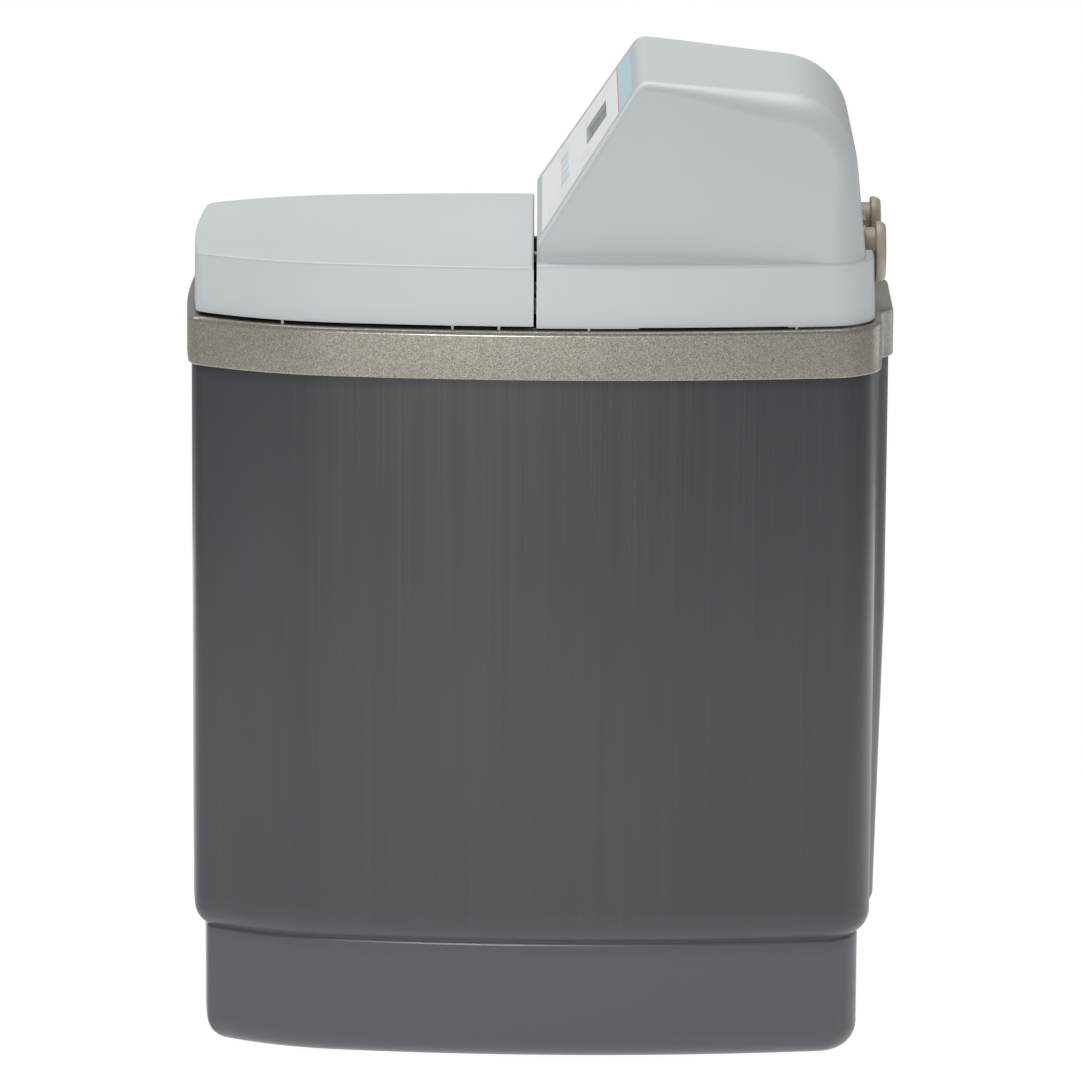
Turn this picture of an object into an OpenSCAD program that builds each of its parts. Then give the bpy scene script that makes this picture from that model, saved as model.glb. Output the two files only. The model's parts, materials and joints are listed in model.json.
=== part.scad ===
// Cabinet water softener: a salt tank with a trim band, a hinged salt lid and a valve cover,
// and inside it a resin vessel, a rotary control valve, a brine well and the controls.
// Millimetres. +Z is up, the front faces -Y and the pipe ports leave towards +Y.
// The origin is at the middle of the cabinet's footprint, on the floor.

/* [Cabinet] */
// Width over the trim band
cabinet_w = 280; // [260:1:320]
// Depth over the trim band, with the bump at the rear
cabinet_d = 480; // [450:1:540]
// Height of the tank's rim above the floor
tank_h = 505; // [440:1:600]
// Wall of the moulded tank
tank_wall = 4; // [2.5:0.5:6]
// Height of the drawn-in base
base_h = 84; // [60:1:110]
// Height of the overhang between base and body
step_h = 19; // [10:1:30]
// How far the base is drawn in under the body
step_in = 8; // [4:0.5:12]
// Radius of the tank's bottom edge
foot_r = 19; // [10:1:30]
// Radius of the bowed long sides
side_arc_r = 1190; // [800:10:2500]
// Where the long sides are widest, along Y
side_mid_y = 20; // [-20:1:40]
// Radius of the bowed front
front_arc_r = 1000; // [400:50:4000]
// Radius of the front corners
front_corner_r = 18; // [8:1:40]
// Radius of the stretch where the long sides draw in towards the front
taper_r = 220; // [180:5:400]
// Where that stretch starts, along Y
taper_y = -140; // [-170:1:-110]
// Radius of the rear corners
rear_corner_r = 40; // [36:1:52]
// How far the bump stands out of the rear wall
bump_h = 9; // [4:0.5:14]
// Half the width of the bump's flat top
bump_half = 45; // [25:1:55]
// Width of the bump's sloped shoulder
bump_shoulder = 20; // [12:1:26]

/* [Trim band] */
// Height of the band
band_h = 33.5; // [24:0.5:44]
// Thickness of the band's skirt
band_t = 2.7; // [2:0.1:4]
// Thickness of the lip over the tank's rim
band_lip_t = 5.5; // [5.2:0.1:8]
// Width of the lip over the tank's rim
band_lip_w = 13; // [11:0.5:20]
// Radius of the band's upper edge
band_edge_r = 4.5; // [2:0.5:5]
// Gap between band and tank
band_fit = 0.3; // [0.1:0.1:0.8]

/* [Lid and cover] */
// Set-in of the lid and cover from the band's face
skirt_in = 5.2; // [4:0.1:8]
// Height of the skirt on the lid and cover
skirt_h = 41; // [34:0.5:50]
// Wall of the lid and cover
shell_t = 3; // [2:0.25:4]
// Shadow gap under the salt lid
lid_gap = 2.5; // [2:0.1:4]
// Shadow gap under the valve cover
cover_gap = 1.3; // [0.8:0.1:2]
// Y of the split between lid and cover
split_y = -3; // [-20:1:10]
// Width of the split
split_gap = 2; // [1.5:0.1:3]
// Edge break along the lid's rear edge
lid_edge = 2.2; // [2:0.1:4]
// Height of the dome above the skirt
dome_h = 118; // [105:1:135]
// Half width of the dome at the skirt
dome_half = 122; // [110:1:126]
// Draft of the dome's sides, in degrees
dome_draft = 13; // [6:0.5:16]
// Height of the dome's upright front below the sloped panel
dome_brow_h = 12; // [6:1:20]
// Slope of the control panel from upright, in degrees
panel_lean = 33; // [28:0.1:40]
// Fall of the dome's top towards the rear, in degrees
top_fall = 5.5; // [2:0.5:8]
// Lean of the dome's rear wall, in degrees
rear_lean = 5.8; // [3:0.1:9]
// Radius over the dome's rear
dome_rear_r = 50; // [25:1:60]
// Radius of the dome's upper side edges
dome_edge_r = 12; // [6:1:18]
// Radius of the dome's rear corners, seen from above
dome_corner_r = 24; // [20:1:55]
// Ledge between the dome's foot and the skirt's face at the rear
dome_rear_ledge = 7; // [4:0.5:12]
// Length of the finger notch under the cover's sides
notch_l = 100; // [60:1:130]
// Rise of the finger notch
notch_h = 0.8; // [0.5:0.1:2.5]
// How far the finger notch sits behind the cover's middle
notch_back = 8; // [0:1:15]

/* [Lid hinge] */
// Distance of each hinge from the middle
hinge_x = 108; // [80:1:112]
// Distance of the hinge axis in front of the lid's rear edge
hinge_in = 10; // [9:0.5:14]
// Depth of the hinge axis under the lid's top
hinge_drop = 8; // [7.5:0.25:11]
// Radius of the hinge pins
hinge_pin_r = 2; // [1.5:0.1:2.2]
// Running gap around the hinge pins
pin_fit = 0.05; // [0.02:0.01:0.1]
// Width of each hinge arm and lug
hinge_w = 6; // [5:0.5:8]

/* [Control panel] */
// Width left bare on each side of the panel
panel_margin = 15; // [10:1:24]
// Length of the panel up the slope
panel_l = 110; // [98:1:116]
// Thickness of the panel
panel_t = 1.2; // [0.8:0.1:1.6]
// Width of the display window
display_w = 62; // [40:1:80]
// Height of the display window
display_l = 24; // [16:1:30]
// Width of a button
button_w = 16; // [10:1:20]
// Height of a button
button_l = 10; // [7:0.5:12]
// Spacing of the buttons
button_pitch = 26; // [22:1:32]
// How far a button stands out
button_proud = 0.6; // [0.3:0.1:1.2]
// Travel of a button
button_travel = 0.8; // [0.5:0.1:1]
// Gap around buttons, window and panel
panel_fit = 0.25; // [0.15:0.05:0.4]
// Distance of the circuit board behind the panel's face
board_depth = 15; // [13:0.5:18]

/* [Resin vessel] */
// Outer radius of the vessel
vessel_r = 103; // [95:1:106]
// Wall of the vessel
vessel_wall = 3.5; // [2.5:0.25:5]
// Height of the vessel's lower dome
vessel_low_dome = 45; // [35:1:60]
// Height of the vessel's upper dome
vessel_top_dome = 48; // [35:1:60]
// Depth of the vessel's mouth below the tank's rim
mouth_drop = 13; // [8:1:20]
// Outer radius of the vessel's neck
neck_r = 40; // [36:1:44]
// Inner radius of the vessel's mouth
mouth_r = 33; // [30:0.5:34]
// Radius of the clamped flanges
flange_r = 52; // [48:1:56]
// Thickness of each clamped flange
flange_t = 8; // [6:0.5:10]
// Gap between the vessel and the cabinet's rear wall
vessel_gap = 6; // [4:1:12]
// Height of the vessel's bottom above the tank's floor
boot_lift = 14; // [10:1:20]
// Outer radius of the boot
boot_r = 88; // [80:1:92]
// Level of the resin above the tank's floor
resin_h = 300; // [200:5:360]
// Outer radius of the riser tube
riser_r = 13.35; // [11:0.05:14]

/* [Control valve] */
// Radius of the valve's drum
drum_r = 50; // [48:0.5:54]
// Height of the drum's top above the vessel's mouth
drum_h = 74; // [68:1:84]
// Height of the pipe ports above the vessel's mouth
port_rise = 56; // [50:1:58]
// Distance of each pipe port from the middle
port_x = 45; // [42:1:52]
// Outer radius of a port barrel
barrel_r = 17; // [16.5:0.1:18]
// Radius of the barrel's water way
water_r = 13; // [12:0.1:13.4]
// Bore of the pipe adaptors, for 22 mm pipe
pipe_bore_r = 11.1; // [10:0.1:11.4]
// Radius of the adaptors' outer collar
collar_r = 20.5; // [19:0.5:22]
// Thickness of the adaptors' outer collar
collar_t = 9.5; // [6:0.5:12]
// How far the adaptors stand behind the cover's skirt
adaptor_proud = 8; // [4:0.5:12]
// Radius of the drain stub
drain_r = 6.35; // [5:0.05:7]
// Radius of the rotor disc
rotor_r = 40; // [34:0.5:41]
// Radius of the rotor's shaft
rotor_shaft_r = 8; // [6:0.1:9]
// Running gap around turning shafts
shaft_fit = 0.06; // [0.02:0.01:0.1]
// Gap between parts that slide together
slip_fit = 0.3; // [0.1:0.05:0.5]
// Module of the drive gears
gear_mod = 1.5; // [1.4:0.1:1.5]
// Teeth on the cam gear
cam_teeth = 48; // [44:4:48]
// Teeth on the motor pinion
pinion_teeth = 12; // [10:1:13]
// Radius of the drive motor
motor_r = 26; // [20:0.5:28]
// Height of the drive motor
motor_h = 34; // [24:1:40]

/* [Brine well] */
// Outer radius of the well
well_r = 38; // [34:0.5:40]
// Wall of the well
well_wall = 2.5; // [2:0.25:4]
// Height of the well
well_h = 466; // [380:1:470]
// Distance of the well's axis from the cabinet's left side
well_side = 80; // [78:1:90]
// Y of the well's axis
well_y = -62; // [-90:1:-60]
// Radius of the float rod
rod_r = 6; // [5:0.25:7]
// Radius of the float
float_r = 29; // [22:0.5:30]
// Height of the float
float_h = 60; // [40:1:80]
// Height of the float's lower stop above the tank's floor
float_stop_h = 146; // [90:1:200]
// Travel of the float
float_travel = 110; // [60:1:140]
// Radius of the brine hose
hose_r = 4.75; // [4:0.05:5.5]

/* [Overflow] */
// Depth of the overflow's axis below the tank's rim
overflow_drop = 75; // [62:1:160]
// Bore of the overflow grommet
overflow_r = 9.5; // [7:0.1:11]
// Wall of the grommet
grommet_t = 2.5; // [2:0.1:3]
// Thickness of the grommet's outer lip
grommet_lip = 1.2; // [0.8:0.1:2.5]

/* [Hidden] */
$fn = 64;
over = 1;

// Plan of the cabinet: tangent arcs, each drawn in by the same inset
front_y = -cabinet_d / 2;
rear_y = cabinet_d / 2 - bump_h;
front_c = [0, front_y + front_arc_r];
side_c = [cabinet_w / 2 - side_arc_r, side_mid_y];
taper_a = asin((taper_y - side_mid_y) / side_arc_r);
taper_c = side_c + (side_arc_r - taper_r) * [cos(taper_a), sin(taper_a)];
corner_least_r = 4;
rear_corner_y = rear_y - rear_corner_r;
rear_corner_x = side_c[0] + sqrt(pow(side_arc_r - rear_corner_r, 2) - pow(rear_corner_y - side_mid_y, 2));
side_end_a = bearing(side_c, [rear_corner_x, rear_corner_y]);

// Heights of the cabinet's layers
floor_z = tank_wall;
body_in = band_t + band_fit;
base_in = body_in + step_in;
band_top = tank_h + band_lip_t;
band_bottom = band_top - band_h;
lid_z = band_top + lid_gap;
cover_z = band_top + cover_gap;
skirt_top = lid_z + skirt_h;
lid_rear_y = split_y - split_gap / 2;
cover_front_y = split_y + split_gap / 2;
skirt_rear_y = rear_y - skirt_in;

// Places of the small rests on the band, measured from the seam, and their size;
// the first lies in front of the arc that the lid's rear corner sweeps
lid_rest_at = [23, 54, 168];
cover_rest_at = [35, 174];
rest_w = 2.4;
rest_l = 1.6;
bump_fade_z = 0.6 * tank_h;
bump_low = 0.45;

// The dome's side profile: straight lines with rounded corners between them
brow_z = skirt_top + dome_brow_h;
dome_top = skirt_top + dome_h;
panel_a = 180 - panel_lean;
top_a = 90 - top_fall;
dome_rear_y = skirt_rear_y - dome_rear_ledge;
brow_r = 6;
crest_r = 10;
brow = [cover_front_y, brow_z];
slope_d = [sin(panel_lean), cos(panel_lean)];
crest_y = cover_front_y + (dome_top - brow_z) * tan(panel_lean);
crest = [crest_y + crest_r * tan((panel_a - top_a) / 2) / 2, dome_top];
slope_l = (dome_top - brow_z) / cos(panel_lean);

// Hinge axis of the lid
hinge_y = lid_rear_y - hinge_in;
hinge_z = skirt_top - hinge_drop;
arm_r = hinge_pin_r + 2.2;
arm_t = 10;
arm_z = cover_z + 5;

// Panel places, measured up the slope from the brow
panel_s = slope_l / 2 - 2;
display_s = panel_s + 12;
button_s = panel_s - 26;
button_count = 4;
flange_gap = 0.3;
button_flange = 1.5;
keeper_t = 1.7;
board_w = 116;
board_l = 78;
board_t = 1.6;
tact_h = 1;
post_r = 3;
lcd_rim = 3;
lcd_seat = 0.05;

// Vessel and valve axis
valve_y = rear_y - base_in - tank_wall - vessel_gap - vessel_r;
mouth_z = tank_h - mouth_drop;
vessel_low_z = floor_z + boot_lift;
vessel_cyl_z = vessel_low_z + vessel_low_dome;
neck_low_z = mouth_z - flange_t;
neck_len = 14;
vessel_top_c = neck_low_z - neck_len - vessel_top_dome * sqrt(1 - pow(neck_r / vessel_r, 2));
riser_wall = 2;
strainer_r = 22;
strainer_h = 42;
strainer_z = vessel_cyl_z + slip_fit
    - (vessel_low_dome - vessel_wall) * sqrt(1 - pow(strainer_r / (vessel_r - vessel_wall), 2));
spigot_l = 20;
spigot_r = mouth_r - slip_fit;
riser_top = mouth_z + 20;
top_strainer_l = 20;
top_strainer_wall = 3;
strainer_slot = 1.5;

// Clamp round the flanges
clamp_wall = 5;
clamp_rib = 4.5;
clamp_lug_l = 12;
clamp_lug_half = 6;
clamp_screw_r = 2.5;
clamp_head_r = 4.5;
clamp_head_t = 3.5;
clamp_screw_y = flange_r + clamp_wall + clamp_lug_l / 2 - 2;

// Valve stack, from the mouth upwards
waist_r = flange_r - 8;
waist_h = 6;
drum_z = mouth_z + flange_t + waist_h;
drum_top = mouth_z + drum_h;
port_z = mouth_z + port_rise;
recess_d = 14;
seal_t = 2;
rotor_t = recess_d - seal_t - 2 * slip_fit;
rotor_z = drum_top - recess_d + seal_t + slip_fit;
head_t = 8;
head_top = drum_top + head_t;
boss_h = 8;
washer_t = 1.5;
cam_z = head_top + boss_h + washer_t + 2 * slip_fit;
cam_t = 8;
plate_z = cam_z + cam_t + 4;
plate_t = 4;
plate_top = plate_z + plate_t;
cam_pitch_r = gear_mod * cam_teeth / 2;
pinion_pitch_r = gear_mod * pinion_teeth / 2;
motor_x = cam_pitch_r + pinion_pitch_r;
pinion_shaft_r = 4;
shaft_bore_d = 10;
ear_r = 5.5;
ear_t = 3;
post_pcd_r = drum_r - 4.6;
screw_pcd_r = drum_r - 4.6;
screw_r = 2;
head_screw_l = 14;

// Ports, measured along Y
adaptor_end_y = skirt_rear_y + adaptor_proud;
barrel_end_y = adaptor_end_y - collar_t - 10;
socket_l = 30;
socket_r = water_r + 1.5;
spigot_end_y = barrel_end_y - socket_l + 1;
port_flange_r = barrel_r + 2.5;
port_flange_t = 3;
seal_r = 0.95;
groove_w = 2.2;
groove_at = [8, 17];
clip_rib = 2.2;
clip_wall = 2.5;
clip_r = port_flange_r + slip_fit + clip_wall;
rear_gate_half = port_x + clip_r + 3;
rear_gate_top = port_z + clip_r + 4;
turbine_r = water_r - 0.5;
turbine_y = spigot_end_y - 26;
turbine_t = 12;
pivot_r = 1.2;
support_t = 4;
drain_z = port_z - 25;
drain_seat_y = valve_y + drum_r + 30;
drain_l = 28;

// Injector on the valve's left side
inj_r = 16;
inj_cap_r = inj_r + 2.5;
inj_cap_h = 14;
inj_cap_lap = 8;
inj_rib_r = 0.9;
inj_gap = 1;
inj_back = 20;
inj_x = -sqrt(pow(drum_r + inj_cap_r + inj_rib_r + inj_gap, 2) - pow(inj_back, 2));
inj_y = valve_y - inj_back;
inj_low = drum_z + 14;
inj_top = drum_top + 6;
nozzle_r = 9;
nozzle_l = 26;
nipple_z = inj_low + 10;
nipple_r = 4;
nipple_l = 14;
nipple_end_y = inj_y - inj_r - nipple_l;

// Overflow in the tank's rear wall
overflow_z = tank_h - overflow_drop;

// Brine well
well_x = well_side - cabinet_w / 2;
well_top = floor_z + well_h;
cap_t = 4;
cap_rim = 3;
cap_plug = 10;
foot_h = 34;
rod_proud = 12;
rod_top = well_top + cap_t + rod_proud;
hose_clear = 2;
elbow_r = 7;
elbow_l = 20;
elbow_end_y = well_y + elbow_r + elbow_l;
stop_t = 4;
float_z = floor_z + float_stop_h + stop_t;
float_high = float_z + float_h + float_travel;

function bearing(a, b) = atan2(b[1] - a[1], b[0] - a[0]);

// Meeting point of two circles on the front right side
function circles_meet(c1, r1, c2, r2) =
    let (d = norm(c2 - c1), u = (c2 - c1) / d, a = (r1 * r1 - r2 * r2 + d * d) / (2 * d),
         h = sqrt(r1 * r1 - a * a))
    c1 + a * u + h * [-u[1], u[0]];

function arc(c, r, a0, a1, n) =
    [for (i = [0:n]) let (a = a0 + (a1 - a0) * i / n) c + r * [cos(a), sin(a)]];

function ease(t) = t * t * (3 - 2 * t);

// Rear stretch of the half outline, from the corner to the middle of the bump
function rear_points(inset, bump) =
    [for (i = [0:6]) let (t = i / 6)
        [bump_half + bump_shoulder * (1 - t), rear_y - inset + bump * bump_h * ease(t)]];

function half_outline(inset, bump) =
    let (r = max(front_corner_r - inset, corner_least_r),
        c = circles_meet(front_c, front_arc_r - inset - r, taper_c, taper_r - inset - r),
        a = bearing(front_c, c), b = bearing(taper_c, c))
    concat(
    arc(front_c, front_arc_r - inset, -90, a, 2),
    [for (i = [1:4]) arc(c, r, a, b, 4)[i]],
    [for (i = [1:4]) arc(taper_c, taper_r - inset, b, taper_a, 4)[i]],
    [for (i = [1:3]) arc(side_c, side_arc_r - inset, taper_a, 0, 3)[i]],
    [for (i = [1:3]) arc(side_c, side_arc_r - inset, 0, side_end_a, 3)[i]],
    [for (i = [1:5]) arc([rear_corner_x, rear_corner_y], rear_corner_r - inset, side_end_a, 90, 5)[i]],
    rear_points(inset, bump));

function outline(inset, bump = 0) =
    let (h = half_outline(inset, bump), n = len(h))
    concat(h, [for (i = [n - 1:-1:1]) [-h[i][0], h[i][1]]]);

function ring(inset, z, bump = 0) = [for (p = outline(inset, bump)) [p[0], p[1], z]];

// X of the long side at a given Y
function side_x(y, inset) =
    let (c = y < taper_y ? taper_c : side_c, r = y < taper_y ? taper_r : side_arc_r)
    c[0] + sqrt(pow(r - inset, 2) - pow(y - c[1], 2));

// Centre of a corner arc between two lines, each given by its normal's angle and its distance
function corner_c(l1, l2, r) =
    let (k = sin(l2[0] - l1[0]), p = l1[1] - r, q = l2[1] - r)
    [(p * sin(l2[0]) - q * sin(l1[0])) / k, (q * cos(l1[0]) - p * cos(l2[0])) / k];

// Convex outline from lines in turning order, with a corner radius after each line
function rounded(lines, radii, inset) =
    [for (i = [0:len(lines) - 1])
        let (a = lines[i], b = lines[(i + 1) % len(lines)], r = radii[i],
             turn = (b[0] - a[0] + 360) % 360, c = corner_c(a, b, r))
        each r - inset > 0.2 ? arc(c, r - inset, a[0], a[0] + turn, ceil(turn / 9))
                             : [corner_c([a[0], a[1] - inset], [b[0], b[1] - inset], 0)]];

function dist(a, p) = cos(a) * p[0] + sin(a) * p[1];

function dome_r(z, r, h, c) = r * sqrt(max(0, 1 - pow((z - c) / h, 2)));

// Solid through a stack of rings with equal point counts
module skin(rings) {
    n = len(rings[0]);
    m = len(rings);
    polyhedron(points = [for (r = rings) each r], faces = concat(
        [[for (i = [0:n - 1]) i]],
        [[for (i = [n - 1:-1:0]) (m - 1) * n + i]],
        [for (k = [0:m - 2], i = [0:n - 1]) let (j = (i + 1) % n, a = k * n, b = a + n)
            each [[a + i, b + i, b + j], [a + i, b + j, a + j]]]));
}

module slab(inset, z0, z1, bump = 0) {
    translate([0, 0, z0]) linear_extrude(z1 - z0) polygon(outline(inset, bump));
}

// Everything behind a plane across the cabinet
module behind(y) {
    translate([-cabinet_w, y, 0]) cube([2 * cabinet_w, 2 * cabinet_d, 2 * dome_top]);
}

module rod(r, z0, z1) {
    translate([0, 0, z0]) cylinder(r = r, h = z1 - z0);
}

module tube(r, hole, z0, z1) {
    difference() {
        rod(r, z0, z1);
        rod(hole, z0 - over, z1 + over);
    }
}

// Turns a shape drawn along +Z so that it points along +Y at a port's axis
module along_port(x, z = port_z) {
    translate([x, 0, z]) rotate([-90, 0, 0]) children();
}

module at_valve() {
    translate([0, valve_y, 0]) children();
}

module at_well() {
    translate([well_x, well_y, 0]) children();
}

// Frame on the sloped panel: x across, y up the slope, z out of the face
module on_slope(s) {
    translate([0, brow[0] + s * slope_d[0], brow[1] + s * slope_d[1]])
        rotate([90 - panel_lean, 0, 0]) children();
}

module plate(w, l, z0, z1) {
    translate([-w / 2, -l / 2, z0]) cube([w, l, z1 - z0]);
}

module torus(r, t) {
    rotate_extrude() translate([r, 0]) circle(t, $fn = 24);
}

// Stack of insets and heights of the tank's outside, drawn in further by the wall for its inside
function tank_rings(w) =
    let (r = foot_r - w, low = base_in + w, high = body_in + w, z0 = w)
    concat(
        [for (a = [0:18:90]) ring(low + r * (1 - sin(a)), z0 + r * (1 - cos(a)))],
        [for (t = [0:0.2:1]) ring(low + (high - low) * ease(t), base_h + step_h * t, bump_low * ease(t))],
        [ring(high, bump_fade_z, 1), ring(high, w > 0 ? tank_h + over : tank_h, 1)]);

module salt_tank() {
    color("#4e4f53")
    difference() {
        skin(tank_rings(0));
        skin(tank_rings(tank_wall));
        along_port(0, overflow_z) rod(overflow_r + grommet_t + slip_fit, rear_y - 20, rear_y + 20);
    }
}

module trim_band() {
    rests = [for (s = [-1, 1], y = lid_rest_at) [s, lid_rear_y - y, lid_gap]];
    seats = [for (s = [-1, 1], y = cover_rest_at) [s, cover_front_y + y, cover_gap]];
    color("#a29b90") {
        difference() {
            skin(concat([ring(0.6, band_bottom, 1), ring(0, band_bottom + 1, 1)],
                [for (a = [0:22.5:90]) let (drop = band_edge_r * (1 - sin(a)))
                    ring(band_edge_r * (1 - cos(a)), band_top - drop, 1)]));
            slab(band_t, band_bottom - over, tank_h, 1);
            slab(band_lip_w, tank_h - over, band_top + over, 0);
        }
        for (p = concat(rests, seats))
            translate([p[0] * side_x(p[1], skirt_in + shell_t / 2) - rest_w / 2, p[1] - rest_l / 2,
                band_top - 0.5]) cube([rest_w, rest_l, p[2] + 0.5]);
    }
}

module hinge_spots() {
    for (s = [-1, 1]) translate([s * hinge_x, hinge_y, hinge_z]) rotate([0, 90, 0]) children();
}

module lid_lug(s) {
    lug_r = arm_r + 0.4;
    x0 = s > 0 ? hinge_w / 2 + 0.5 : -hinge_w * 1.5 - 0.5;
    translate([0, 0, x0]) {
        cylinder(r = lug_r, h = hinge_w);
        translate([-hinge_drop + shell_t / 2, -lug_r, 0])
            cube([hinge_drop - shell_t / 2, 2 * lug_r, hinge_w]);
    }
}

module salt_lid() {
    color("#c6cbcf")
    difference() {
        union() {
            difference() {
                slab(skirt_in, lid_z, skirt_top);
                slab(skirt_in + shell_t, lid_z - over, skirt_top - shell_t);
                behind(lid_rear_y);
            }
            hinge_spots() {
                lid_lug(1);
                lid_lug(-1);
            }
        }
        hinge_spots() cylinder(r = hinge_pin_r + pin_fit, h = 6 * hinge_w, center = true);
        translate([0, lid_rear_y, skirt_top]) rotate([45, 0, 0])
            cube([2 * cabinet_w, lid_edge * sqrt(2), lid_edge * sqrt(2)], center = true);
    }
}

module hinge_pins() {
    color("#9a9c9e") hinge_spots() cylinder(r = hinge_pin_r, h = 3 * hinge_w, center = true);
}

// Side profile of the dome in the YZ plane
function dome_profile(inset) = rounded(
    [[-90, -cover_z], [rear_lean, dist(rear_lean, [dome_rear_y, skirt_top])], [top_a, dist(top_a, crest)],
     [panel_a, dist(panel_a, brow)], [180, -cover_front_y]],
    [0, dome_rear_r, crest_r, brow_r, 0], inset);

// Cross-section of the dome in the XZ plane, below its crest
function dome_section(inset) = rounded(
    [[-90, 2 * dome_h], [dome_draft, dist(dome_draft, [dome_half, -dome_h])], [90, 0],
     [180 - dome_draft, dist(180 - dome_draft, [-dome_half, -dome_h])]],
    [0, dome_edge_r, dome_edge_r, 0], inset);

// Plan of the dome's foot
function dome_plan(inset) = rounded(
    [[-90, -cover_front_y], [0, dome_half + 3], [90, dome_rear_y + 0.5], [180, dome_half + 3]],
    [brow_r, dome_corner_r, dome_corner_r, brow_r], inset);

module dome(inset, low) {
    intersection() {
        rotate([90, 0, 90]) linear_extrude(2 * dome_half + 40, center = true) polygon(dome_profile(inset));
        translate([0, crest[0], crest[1]]) rotate([90 - top_fall, 0, 0])
            linear_extrude(2 * cabinet_d, center = true) polygon(dome_section(inset));
        translate([0, 0, low]) linear_extrude(2 * dome_h + skirt_h) polygon(dome_plan(inset));
    }
}

module hinge_arm() {
    y1 = hinge_y + arm_r - 1.2;
    translate([-hinge_w / 2, hinge_y - arm_r, arm_z]) {
        cube([hinge_w, cover_front_y + over - hinge_y + arm_r, arm_t]);
        cube([hinge_w, y1 - hinge_y + arm_r, hinge_z - arm_z]);
    }
    translate([0, hinge_y, hinge_z]) rotate([0, 90, 0]) cylinder(r = arm_r, h = hinge_w, center = true);
}

module board_posts(r, z0, z1) {
    for (x = [-1, 1], y = [-1, 1])
        translate([x * (board_w / 2 - 5), y * (board_l / 2 - 5), z0]) cylinder(r = r, h = z1 - z0);
}

function button_x(i) = (i - (button_count - 1) / 2) * button_pitch;

module valve_cover() {
    notch_y = (cover_front_y + dome_rear_y) / 2 + notch_back;
    color("#c3c8cc")
    difference() {
        union() {
            difference() {
                union() {
                    intersection() {
                        slab(skirt_in, cover_z, skirt_top);
                        behind(cover_front_y);
                    }
                    dome(0, cover_z);
                }
                intersection() {
                    slab(skirt_in + shell_t, cover_z - over, skirt_top - shell_t);
                    behind(cover_front_y + shell_t);
                }
                dome(shell_t, cover_z - over);
            }
            for (s = [-1, 1]) translate([s * hinge_x, 0, 0]) hinge_arm();
            on_slope(panel_s) board_posts(post_r, -board_depth + board_t, -shell_t + 0.2);
        }
        hinge_spots() cylinder(r = hinge_pin_r, h = 4 * hinge_w, center = true);
        translate([-rear_gate_half, dome_rear_y - dome_rear_r, cover_z - over])
            cube([2 * rear_gate_half, 2 * dome_rear_r, rear_gate_top - cover_z + over]);
        translate([-cabinet_w, notch_y - notch_l / 2, cover_z - over])
            cube([2 * cabinet_w, notch_l, notch_h + over]);
        hose_notch();
        panel_blank(panel_fit, -panel_t, dome_edge_r);
        on_slope(display_s) plate(display_w - lcd_rim, display_l - lcd_rim, -2 * shell_t, 0);
        for (i = [0:button_count - 1]) on_slope(button_s) translate([button_x(i), 0, 0])
            plate(button_w + 2 * panel_fit, button_l + 2 * panel_fit, -2 * shell_t, 0);
        on_slope(panel_s) board_posts(1.2, -board_depth, -shell_t - 2);
    }
}

// Way through the cover's front wall, where the hose passes above the cover's lower edge
module hose_notch() {
    mid_y = cover_front_y + shell_t / 2;
    p = hose_at((hose_ends[0][1] - mid_y) / (hose_ends[0][1] - hose_ends[1][1]));
    half = hose_r + hose_clear;
    if (p[2] + half > cover_z)
        translate([p[0] - half, cover_front_y - over, cover_z - over])
            cube([2 * half, shell_t + 2 * over, p[2] + half - cover_z + over]);
}

// Half the width of the dome at a place up the slope
function slope_half(s) = dome_half - (dome_brow_h + s * slope_d[1]) * tan(dome_draft);

// Panel blank, which narrows up the slope with the dome's sides; grow widens it all round
module panel_blank(grow, z0, z1) {
    low = panel_s - panel_l / 2 - grow;
    high = panel_s + panel_l / 2 + grow;
    w0 = slope_half(low) - panel_margin + grow;
    w1 = slope_half(high) - panel_margin + grow;
    on_slope(0) translate([0, 0, z0]) linear_extrude(z1 - z0)
        polygon([[-w0, low], [w0, low], [w1, high], [-w1, high]]);
}

module control_panel() {
    color("#d9dddc")
    difference() {
        panel_blank(0, -panel_t, 0);
        on_slope(display_s) plate(display_w + 2 * panel_fit, display_l + 2 * panel_fit, -2 * panel_t, over);
        for (i = [0:button_count - 1]) on_slope(button_s) translate([button_x(i), 0, 0])
            plate(button_w + 2 * panel_fit, button_l + 2 * panel_fit, -2 * panel_t, over);
    }
}

module display_window() {
    color("#3d4a50") on_slope(display_s) plate(display_w, display_l, -panel_t, 0);
}

module display_module() {
    color("#8a958c") on_slope(display_s)
        plate(display_w + 2 * lcd_rim, display_l + 2 * lcd_rim, -board_depth + board_t + lcd_seat,
            -shell_t - slip_fit);
}

module button(i) {
    keeper_z = -shell_t - flange_gap;
    color("#b9ccd3") on_slope(button_s) translate([button_x(i), 0, 0]) {
        plate(button_w, button_l, keeper_z - keeper_t, button_proud);
        plate(button_w + 2 * button_flange, button_l + 2 * button_flange, keeper_z - keeper_t, keeper_z);
        rod(2, -board_depth + board_t + tact_h + button_travel + 0.2, keeper_z - keeper_t + 0.2);
    }
}

module button_menu() {
    button(0);
}

module button_down() {
    button(1);
}

module button_up() {
    button(2);
}

module button_recharge() {
    button(3);
}

module control_board() {
    color("#2f6b46")
    difference() {
        union() {
            on_slope(panel_s) plate(board_w, board_l, -board_depth, -board_depth + board_t);
            for (i = [0:button_count - 1]) on_slope(button_s) translate([button_x(i), 0, 0])
                plate(6, 6, -board_depth + 0.5, -board_depth + board_t + tact_h);
        }
        on_slope(panel_s) board_posts(1.4, -board_depth - over, -board_depth + board_t + over);
    }
}

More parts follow.
